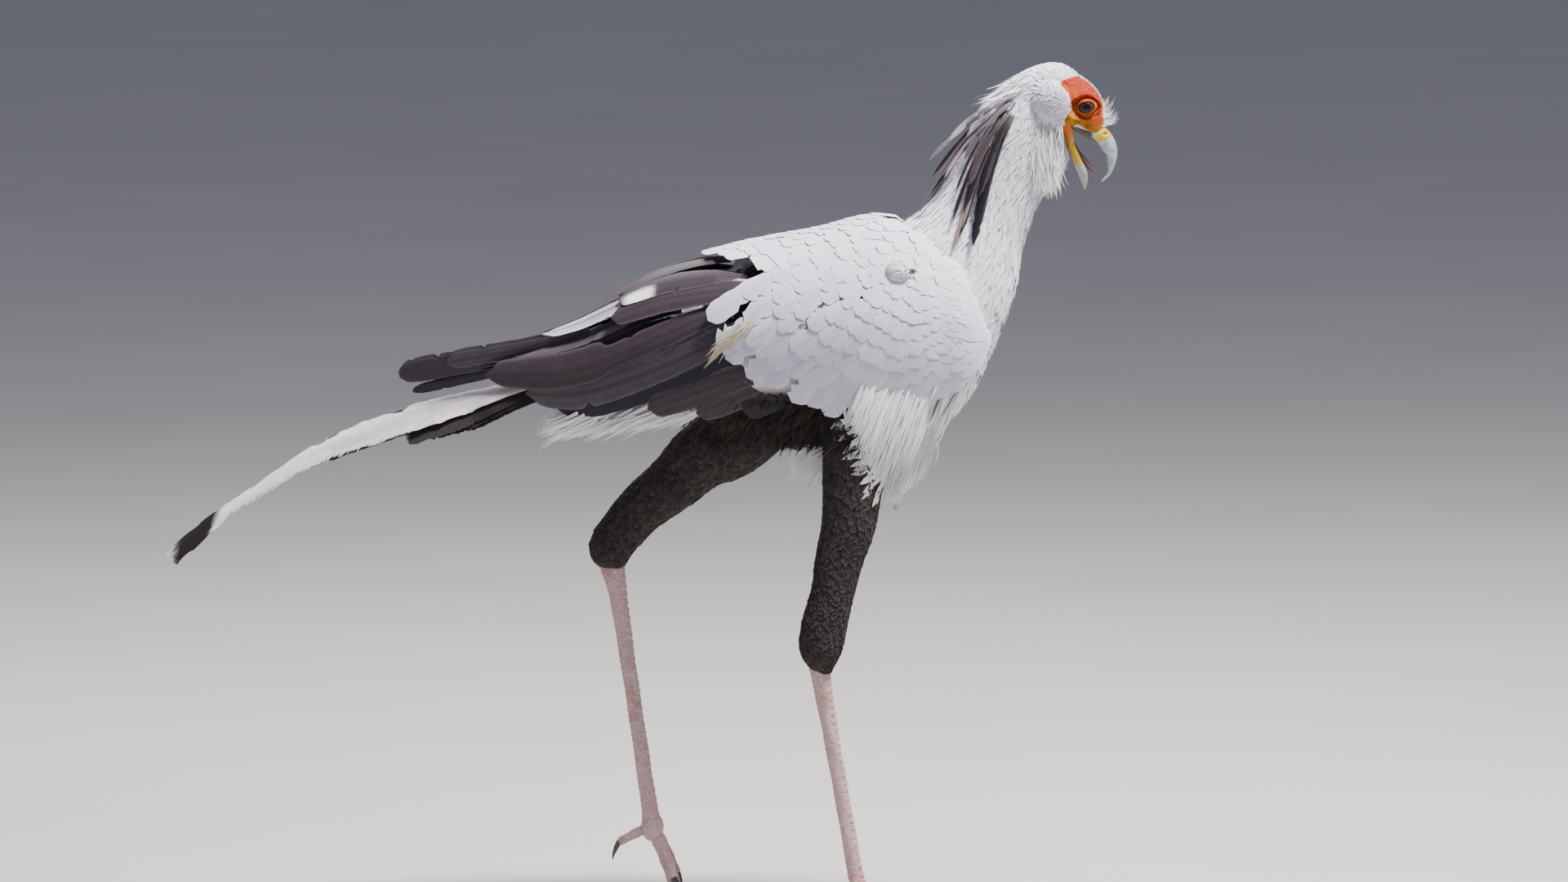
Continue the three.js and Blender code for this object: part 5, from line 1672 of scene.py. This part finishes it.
def buildJaw():
    rows, around = 70, 44
    read = evenTable(jawRows)(np.linspace(0, 1, rows))
    points, faces = tubeShape(read[:, :3], *read[:, 3:].T, around)
    ring, turn = ringPlaces(rows, around)
    above = np.clip(np.sin(turn), 0, 1)
    fade = 1 - ease(ring / (rows - 1), 0.7, 0.95)
    hollow = np.clip(1 - (np.cos(turn) / 0.72) ** 2, 0, 1) * (above > 0) * fade
    rise = 4.8 * (above ** sharpEdge - above) * fade - 6.4 * hollow
    points = points + jawOpening * rise[:, None]
    skinned = jawFinish()
    piece = meshObject("jaw", points, faces, skinned, {"trough": hollow})
    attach(piece, "root")
    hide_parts("bill_lower")
    for name, side in sides.items():
        rows = [[x, y * side, z, *sizes] for x, y, z, *sizes in gapeRows]
        points, faces = shapedTube(rows, 0, 60, 28)
        x, _, z = points.T
        folds = np.sin(z * 1.9 + x * 0.8) * 0.22 + np.sin(z * 0.9 - x * 1.3) * 0.25
        points = points + np.array([0, side, 0]) * folds[:, None]
        piece = meshObject("gape_fold_" + name, points, faces, skinned, {"trough": np.zeros(len(points))})
        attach(piece, "root")
        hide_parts("bill_lower")
    piece = meshObject("tongue_tip", *shapedTube(tongueRows, 0, 40, 24), tongueFinish())
    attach(piece, "root")
    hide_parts("tongue")


buildEyes()
buildBill()
buildJaw()
print("eyes and bill")


# Loose strands: thin vanes along a line in the open, for down, bristles, lashes and frayed feathers.

strandShapes = {
    "plain": (0.8, 1, 0.8, 0.5, 0.1),
    "throat": (0.8, 1, 0.7, 0.35, 0.03),
    "down": (0.7, 1, 0.8, 0.4, 0.05),
    "fan": (0.7, 1, 0.9, 0.6, 0.08),
    "drape": (0.7, 1, 0.9, 0.5, 0.05),
    "tuft": (0.5, 1, 1, 0.7, 0.2),
}
goldenStep = 0.6180339


def strand(vanes, knots, half, facing, color, seed, shape="plain"):
    # color is the tone at the root and the tone at the tip
    t = np.linspace(0, 1, vanes.rows)
    line = evenTable(knots)(t)
    tangent = unit(np.gradient(line, axis=0))
    sideways = unit(np.cross(tangent, unit(np.asarray(facing, float))))
    widths = strandShapes[shape]
    width = np.interp(t, np.linspace(0, 1, len(widths)), widths)[:, None] * half
    off = np.linspace(-1, 1, vanes.columns)
    points = line[:, None] + (sideways * width)[:, None] * off[:, None]
    length = np.linalg.norm(np.diff(line, axis=0), axis=1).sum()
    ones = np.ones(points.shape[:2])
    vane = np.stack([t[:, None] * length * ones, off * width, (seed * goldenStep) % 1 * ones], -1)
    paint = blendOf(*color, t[:, None] * ones)
    # the root's place on an unwrap of the body
    turn = math.atan2(line[0, 1], line[0, 2] - 650)
    place = np.array([0.03 + (line[0, 0] + 530) / 1100, 0.5 + turn / (2 * math.pi) * 0.9])
    vanes.add(points, vane, paint, np.clip(place + patchGrid(vanes.rows, vanes.columns), 0.003, 0.995))


def sideOf(i):
    return 1 if i % 2 else -1


def bent(root, way, long, middle=0, end=0):
    # root, middle and end of a strand, the last two moved off the straight line
    return [root, root + way * long * 0.5 + middle, root + way * long + end]


white, soft = (0.84, 0.83, 0.87), (0.78, 0.76, 0.80)
buried = 0.5


def growBristles():
    # long fine white feathers that stand forward over the base of the bill and curl up
    vanes = Vanes(7, 3)
    for i in range(110):
        side = sideOf(i)
        t = draw.random() ** 0.8
        y = side * draw.uniform(0.3, 8.5)
        root = headPoint(81 + 18 * t, 39.5 - 20 * t - abs(y) * 0.4, y)
        long = draw.uniform(10, 27) * (0.5 + 0.5 * t) if i % 3 else draw.uniform(4, 7)
        out = unit(np.array([1, side * draw.uniform(0, 0.3), draw.uniform(-0.35, 0.45)]))
        curl = np.array([-0.12, 0, draw.uniform(0.2, 0.6)]) * long
        knots = [root - out * 2, root + out * long * 0.5 + curl * 0.22, root + out * long * 0.85 + curl]
        wide = draw.uniform(0.14, 0.27) if i % 3 else draw.uniform(0.3, 0.6)
        strand(vanes, knots, wide, (0, side, 0.4), (soft, white), i)
    vanes.build("bristles", "coat", "head", slot="plumage")


def growLashes():
    # short dark lashes over the eye
    vanes = Vanes(6, 3)
    dark = (0.02, 0.015, 0.012)
    eyeForward, eyeHigh, eyeOut = face["eye"]
    wide, high = face["opening"]
    for side in sides.values():
        for i in range(11):
            angle = math.radians(52 + i * 13)
            a, b = 1.1 * wide * math.cos(angle), 1.1 * high * math.sin(angle)
            f, u = turned(a, b, -math.radians(face["tilt"]))
            root = headPoint(eyeForward + f, eyeHigh + u, side * (eyeOut + 8.2))
            out = unit(np.array([0, side, 0]) + headUp * 0.5 + headForward * math.cos(angle) * 0.4)
            knots = [root, root + out * 3 + headUp * 0.2, root + out * 5.5 + headUp * 1.6]
            strand(vanes, knots, 0.22, headUp, (dark, dark), i)
    vanes.build("lashes", "coat", "head", slot="plumage")


def growThroat():
    # shaggy throat: long loose feathers that hang from below the ear pad and the jaw
    vanes = Vanes(8, 3)
    for i in range(1300):
        side = sideOf(i)
        t = draw.random()
        x = 428 + draw.uniform(0, 32) * (1 - 0.35 * t)
        z = 884 - 62 * t
        y = side * abs(draw.normal(0, 8 - 3 * t)) * 1.3
        spot, _ = seenSkin(x, side, z, 60)
        root = np.array([x, y if spot is None else spot[1], z])
        if spot is not None and i % 3 == 0:
            root = np.array([min(x + 8, 456), y * 0.6, z])
        long = draw.uniform(20, 42) * (1 - 0.3 * t)
        down = unit(np.array([draw.uniform(-0.25, 0.2), side * draw.uniform(0.02, 0.2), -1]))
        drift = np.array([draw.normal(1.5, 3.5), side * draw.uniform(0, 3), 0])
        knots = bent(root, down, long, drift * 0.5, drift)
        tone = (0.55, 0.47, 0.47) if draw.random() < 0.08 else soft
        strand(vanes, knots, draw.uniform(0.25, 0.7), (0.3, side, 0), (tone, white), i, "throat")
    vanes.build("throat_feathers", "coat", "nape", "head", slot="plumage")


def growNapeEnds():
    # white feathers with loose ends over the roots of the crest
    vanes = Vanes(7, 3)
    for i in range(150):
        side = sideOf(i)
        x = draw.uniform(385, 430)
        z = 903 + (x - 385) * 0.62 + draw.uniform(-3, 12)
        spot, normal = seenSkin(x, side, z, 90)
        if spot is None:
            continue
        back = unit(np.array([-0.8, side * 0.12, -0.6]) + draw.normal(0, 0.12, 3))
        long = draw.uniform(18, 32)
        knots = bent(spot - normal * buried, back, long, normal * 3.2, normal * draw.uniform(1.5, 5))
        strand(vanes, knots, draw.uniform(0.5, 1.3), normal, (soft, white), i)
    vanes.build("nape_feathers", "coat", "nape", slot="plumage")


def growUndertail(vanes):
    for i in range(1400):
        side = sideOf(i)
        x = draw.uniform(-70, 80)
        root = np.array([x, side * draw.uniform(2, 34), 572 - 0.12 * (60 - x) + draw.uniform(-8, 12)])
        long = draw.uniform(30, 56)
        back = unit(np.array([-1, side * draw.uniform(-0.08, 0.08), draw.normal(-0.32, 0.09)]))
        drop = np.array([0, 0, -draw.uniform(2, 7)])
        knots = bent(root, back, long, drop * 0.6, drop)
        wide = draw.uniform(0.7, 1.9)
        strand(vanes, knots, wide, (0, side, -0.3), (soft, (0.82, 0.80, 0.79)), i, "down")


def growFan(vanes):
    # broad feathers over the front of the breast
    for i in range(1500):
        side = sideOf(i)
        t = draw.random()
        y = side * draw.uniform(0, 62)
        root = np.array([335 - 62 * t - abs(y) * 0.2, y, 640 - 118 * t])
        spot, normal, _, _ = skinTree.find_nearest(root)
        spot, normal = np.array(spot), np.array(normal)
        long = draw.uniform(34, 62)
        down = unit(np.array([-0.5 + draw.normal(0, 0.09), side * draw.uniform(-0.05, 0.15), -0.85]))
        out = normal * draw.uniform(0.5, 4)
        knots = bent(spot - normal * buried, down, long, out, out * 0.8)
        strand(vanes, knots, draw.uniform(1.4, 3.4), normal, (soft, white), i, "fan")


def growDrape(vanes):
    # loose feathers of the lower breast, whose ends gather to one low point beside the near thigh
    lowX, lowZ = 272, 452
    for i in range(2200):
        side = sideOf(i)
        z = draw.uniform(505, 625)
        x = draw.uniform(max(246, 238 + (560 - z) * 0.4), 325)
        spot, normal = seenSkin(x, side, z, 140)
        if spot is None:
            continue
        end = x - 0.37 * (z - 480)
        reach = lowZ + max((lowX - end) * 1.5, (end - lowX) * 1.3) + draw.uniform(0, 9)
        long = np.clip((z - reach) / 0.92, 16, 84)
        down = unit(np.array([-0.37 + draw.normal(0, 0.04), side * draw.uniform(0.0, 0.1), -0.92]))
        out = normal * draw.uniform(1.0, 4.5)
        knots = bent(spot - normal * buried, down, long, out, out * 0.8)
        strand(vanes, knots, draw.uniform(0.7, 1.8), (0, side, 0.1), (soft, white), i, "drape")


def growBelly(vanes):
    # the white tuft behind the near thigh
    for i in range(260):
        side = sideOf(i)
        root = np.array([draw.uniform(180, 214), side * draw.uniform(0, 26), draw.uniform(512, 532)])
        down = unit(np.array([-0.5 + draw.normal(0, 0.15), side * 0.1, -0.9]))
        long = draw.uniform(20, 40)
        knots = bent(root, down, long, end=np.array([-4, 0, 0]))
        strand(vanes, knots, draw.uniform(0.8, 2.2), (0, side, 0), (soft, white), i)


def growPlumes():
    vanes = Vanes(9, 3)
    for grow in (growUndertail, growFan, growDrape, growBelly):
        grow(vanes)
    vanes.build("plumes", "coat", "torso", slot="plumage")


def growFlanks():
    # dark down along the belly and flanks, with paler brown ends
    vanes = Vanes(7, 3)
    for i in range(2600):
        side = sideOf(i)
        x = draw.uniform(45, 250)
        z = draw.uniform(530, 585)
        spot, normal = seenSkin(x, side, z, 120)
        if spot is None:
            continue
        down = unit(np.array([-0.55 + draw.normal(0, 0.25), side * draw.uniform(0, 0.25), -0.8]))
        long = draw.uniform(10, 22)
        out = normal * draw.uniform(0.3, 2.2)
        knots = bent(spot - normal * buried, down, long, out, out)
        tip = (0.075, 0.056, 0.046) if draw.random() < 0.3 else (0.025, 0.019, 0.018)
        strand(vanes, knots, draw.uniform(0.4, 1.1), normal, (colors["black"], tip), i)
    vanes.build("flank_down", "trouser", "torso", slot="trouser_feathers")


def growTuft():
    # a round tuft of down that stands out of the coverts near the shoulder, with one dark point
    vanes = Vanes(7, 3)
    x, z = 279, 724
    for side in sides.values():
        around = np.array(aroundAt(x, z))
        heart = wingPoint(side, x, around, -4.0)
        outward = unit(wingPoint(side, x, around, 6.0) - heart)
        for i in range(420):
            way = unit(draw.normal(0, 1, 3))
            way = unit(way + outward * max(0.35 - way @ outward, 0))
            foot = heart + outward * 2 + way * np.array([13, 9, 11.5])
            slip = unit(np.array([-0.7, 0, -0.7]) + draw.normal(0, 0.25, 3))
            slip = unit(slip - way * (slip @ way))
            knots = [foot - slip * 4, foot + way * 1.3, foot + slip * 6 + way * 0.6]
            # the down is grey-lilac, darker at the root: its own grey with painted shade
            strand(vanes, knots, draw.uniform(1.3, 2.6), way, ((0.66, 0.62, 0.64), soft), i, "tuft")
        for i in range(7):
            start = heart + np.array([10, 0, -2.5 + i * 0.6]) + outward * 8
            tip = start + np.array([12 - abs(i - 3), 0, -2.2 + i * 0.3])
            knots = [start, (start + tip) / 2, tip]
            strand(vanes, knots, 0.8, outward, ((0.25, 0.2, 0.2), (0.08, 0.06, 0.07)), i)
    vanes.build("shoulder_tuft", "coat", "wing_right_coverts", "wing_left_coverts", slot="plumage")


def growTailBarbs():
    # parted barbs along the lower edge of the longest tail feathers
    vanes = Vanes(6, 3)
    pair, tones = tailPairs[0], ((0.62, 0.57, 0.57), (0.76, 0.73, 0.74))
    for side in sides.values():
        outward = tailOutward(pair, side)
        for i in range(210):
            t = draw.uniform(0.3, 0.87)
            spot, tangent = tailAt(np.array(t))
            wide = pair["half"] * readOne(tailTapers[0], t) * readOne(tailSpread, spot[0])
            root = spot + outward * (2 * wide - 2.5)
            long = draw.uniform(6, 13)
            lean = unit(tangent + outward * draw.uniform(0.35, 0.8))
            knots = bent(root, lean, long, end=np.array([0, 0, -draw.uniform(0, 1.5)]))
            strand(vanes, knots, draw.uniform(0.4, 0.9), (0, side, 0.5), tones, i)
    vanes.build("tail_barbs", "coat", "tail", slot="tail_feathers")


def growStraw():
    # one frayed straw-coloured feather at the rear edge of the coverts
    vanes = Vanes(8, 3)
    many = 46
    for side in sides.values():
        for i in range(many):
            t = i / (many - 1)
            rootX, rootZ = 122 - 34 * t + draw.normal(0, 2.5), 676 - 30 * t + draw.normal(0, 2.5)
            tipX, tipZ = rootX - draw.uniform(14, 26), rootZ - draw.uniform(14, 30)
            if tipZ > 700:
                continue
            knots = []
            for share in (0, 0.5, 1):
                x, z = rootX + (tipX - rootX) * share, rootZ + (tipZ - rootZ) * share
                knots.append(wingPoint(side, x, np.array(aroundAt(x, z)), 0.4 + 1.6 * share))
            tone = (0.60, 0.53, 0.42) if i % 3 else (0.80, 0.77, 0.72)
            strand(vanes, knots, draw.uniform(0.5, 1.3), (0, side, 0.2), (tone, (0.42, 0.33, 0.24)), i)
    vanes.build("straw_feather", "coat", "wing_right_coverts", "wing_left_coverts", slot="plumage")


for grow in (
    growBristles, growLashes, growThroat, growNapeEnds, growPlumes, growFlanks, growTuft, growTailBarbs,
    growStraw,
):
    grow()
print("strands")


# Legs

def legFinish():
    shop = Finish("legSkin")
    here = shop.place()
    cellSize = 0.55
    cells = shop.cellEdges(here, cellSize)
    tint, _, _ = shop.parts(shop.node("TexVoronoi", None, {"Vector": here, "Scale": cellSize}, out="Color"))
    broad = shop.noise(here, 0.05, 3, 0.5)
    scute = shop.layer("scute")
    color = shop.mix((0.44, 0.235, 0.25), (0.60, 0.38, 0.40), tint)
    color = shop.mix(color, (0.36, 0.11, 0.11), shop.clamped(broad, 0.5, 0.66) * 0.6)
    color = shop.mix(color, (0.72, 0.60, 0.58), (1 - shop.clamped(cells, 0.0, 0.2)) * 0.6)
    color = shop.mix(color, (0.26, 0.15, 0.15), scute * 0.5)
    color = shop.mix(color, (0.12, 0.10, 0.105), shop.layer("ankle") * 0.75)
    height = shop.clamped(cells, 0.0, 0.22)
    return shop.surface({
        "Base Color": color, "Roughness": 0.55, "Specular IOR Level": 0.35,
        "Normal": shop.bump(height + (1 - scute) * 0.6, 0.0006, 0.9),
    })


def clawFinish():
    shop = Finish("claw")
    here = shop.place()
    grain = shop.noise(here, 0.4, 3, 0.6)
    color = shop.mix((0.025, 0.018, 0.018), (0.075, 0.055, 0.05), grain)
    return shop.surface({"Base Color": color, "Roughness": 0.4, "Normal": shop.bump(grain, 0.0003, 0.7)})


# Shank from the ankle to the ball of the foot: half width, over, under.
shankShape = smoothTable([
    [0, 10, 13, 13], [0.12, 8.2, 11, 11], [0.3, 7.2, 9.2, 9.6],
    [0.75, 7, 8.6, 9], [0.9, 9, 9, 9.6], [1, 12, 10, 11],
])
scutes = {"front": 34, "rear": 46}


def buildShank(name, leg):
    ankle, ball = np.array(leg["ankle"], float), np.array(leg["ball"], float)
    rows, around = 280, 40
    t = np.linspace(0, 1, rows)
    wide, over, under = shankShape(t).T
    under = under + leg["heel"] * (1 - ease(t, 0.04, 0.18))
    centres = ankle + (ball - ankle) * t[:, None]
    points, faces = tubeShape(centres, wide - 0.5, over - 0.6, under - 0.6, around)
    ring, turn = ringPlaces(rows, around)
    along = t[ring]
    out = unit(points - centres[ring] + 1e-6)
    # broad scutes down the front, small ones down the back, and a slight wave between
    step, rearStep = (along * scutes["front"]) % 1, (along * scutes["rear"]) % 1
    front = ease(np.sin(turn), 0.35, 0.75)
    rear = ease(-np.sin(turn), 0.7, 0.95)
    swell = front * (1.1 * step - 0.3) + rear * (0.9 * rearStep - 0.2) + 0.25 * np.sin(along * 31 + turn * 3)
    points = points + out * swell[:, None]
    groove = front * (1 - ease(step, 0.0, 0.14)) + rear * (1 - ease(rearStep, 0, 0.2)) * 0.6
    layers = {"scute": groove, "ankle": (1 - ease(along, 0.02, 0.1)) * 0.9}
    piece = meshObject("shank_skin_" + name, points, faces, legFinishes["skin"], layers)
    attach(piece, "root")
    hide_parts("shank_" + name)


legFinishes = {"skin": legFinish(), "claw": clawFinish()}
for name, leg in legs.items():
    buildShank(name, leg)
    looks = {"foot_" + name: "skin"}
    for digit in (1, 2, 3, 4):
        looks["toe_%s_%d" % (name, digit)] = "skin"
        looks["claw_%s_%d" % (name, digit)] = "claw"
    for part, look in looks.items():
        materials = bpy.data.objects.get(part).data.materials
        materials.clear()
        materials.append(legFinishes[look])
print("legs")


# Camera and studio

# A long lens, six degrees above level and square to the bird's right side. Lengths here are in metres.
view = {"aim": (0.15435, 0.526), "rise": 6, "far": 12, "lens": 250, "sensor": 36}


def placeCamera():
    rise = math.radians(view["rise"])
    aimX, aimZ = view["aim"]
    aim = Vector((aimX, 0, aimZ / math.cos(rise)))
    back = Vector((0, -math.cos(rise), math.sin(rise)))
    data = bpy.data.cameras.new("camera")
    data.lens, data.sensor_width = view["lens"], view["sensor"]
    data.clip_start, data.clip_end = 0.1, 200
    camera = bpy.data.objects.new("camera", data)
    bpy.context.scene.collection.objects.link(camera)
    camera.location = aim + back * view["far"]
    camera.rotation_mode = "QUATERNION"
    camera.rotation_quaternion = (-back).to_track_quat("-Z", "Y")
    bpy.context.scene.camera = camera


lampAim = (0.15, 0, 0.6)
lamps = [
    {"name": "key", "at": (1.5, -0.75, 3.9), "size": 0.7, "power": 500, "color": (1, 0.975, 0.93)},
    {"name": "fill", "at": (-1.6, -3.4, 1.3), "size": 3.0, "power": 9, "color": (0.80, 0.82, 1)},
    {"name": "rim", "at": (-0.4, 2.2, 3.0), "size": 1.6, "power": 90, "color": (1, 0.99, 0.97)},
]


def placeLamps():
    for lamp in lamps:
        data = bpy.data.lights.new(lamp["name"], "AREA")
        data.energy, data.size, data.color = lamp["power"], lamp["size"], lamp["color"]
        light = bpy.data.objects.new(lamp["name"], data)
        bpy.context.scene.collection.objects.link(light)
        light.location = lamp["at"]
        aim = Vector(lampAim) - light.location
        light.rotation_mode = "QUATERNION"
        light.rotation_quaternion = aim.to_track_quat("-Z", "Y")
    world = bpy.data.worlds.new("studio")
    world.use_nodes = True
    sky = world.node_tree.nodes["Background"].inputs
    sky["Color"].default_value = (0.72, 0.73, 1.0, 1)
    sky["Strength"].default_value = 0.32
    bpy.context.scene.world = world


def layFloor():
    shop = Finish("paleFloor")
    cloud = shop.noise(shop.place(), 0.002, 3, 0.5)
    color = shop.mix((0.47, 0.47, 0.44), (0.54, 0.53, 0.50), cloud)
    grain = shop.noise(shop.place(), 0.3, 2, 0.5)
    finish = shop.surface({"Base Color": color, "Roughness": 0.9, "Normal": shop.bump(grain, 0.0003, 0.3)})
    reach = 60000
    corners = np.array([[-1, -1, 0], [1, -1, 0], [1, 1, 0], [-1, 1, 0]], float) * reach
    floor = meshObject("floor", corners, [[0, 1, 2, 3]], finish)


placeCamera()
placeLamps()
layFloor()
print("studio")
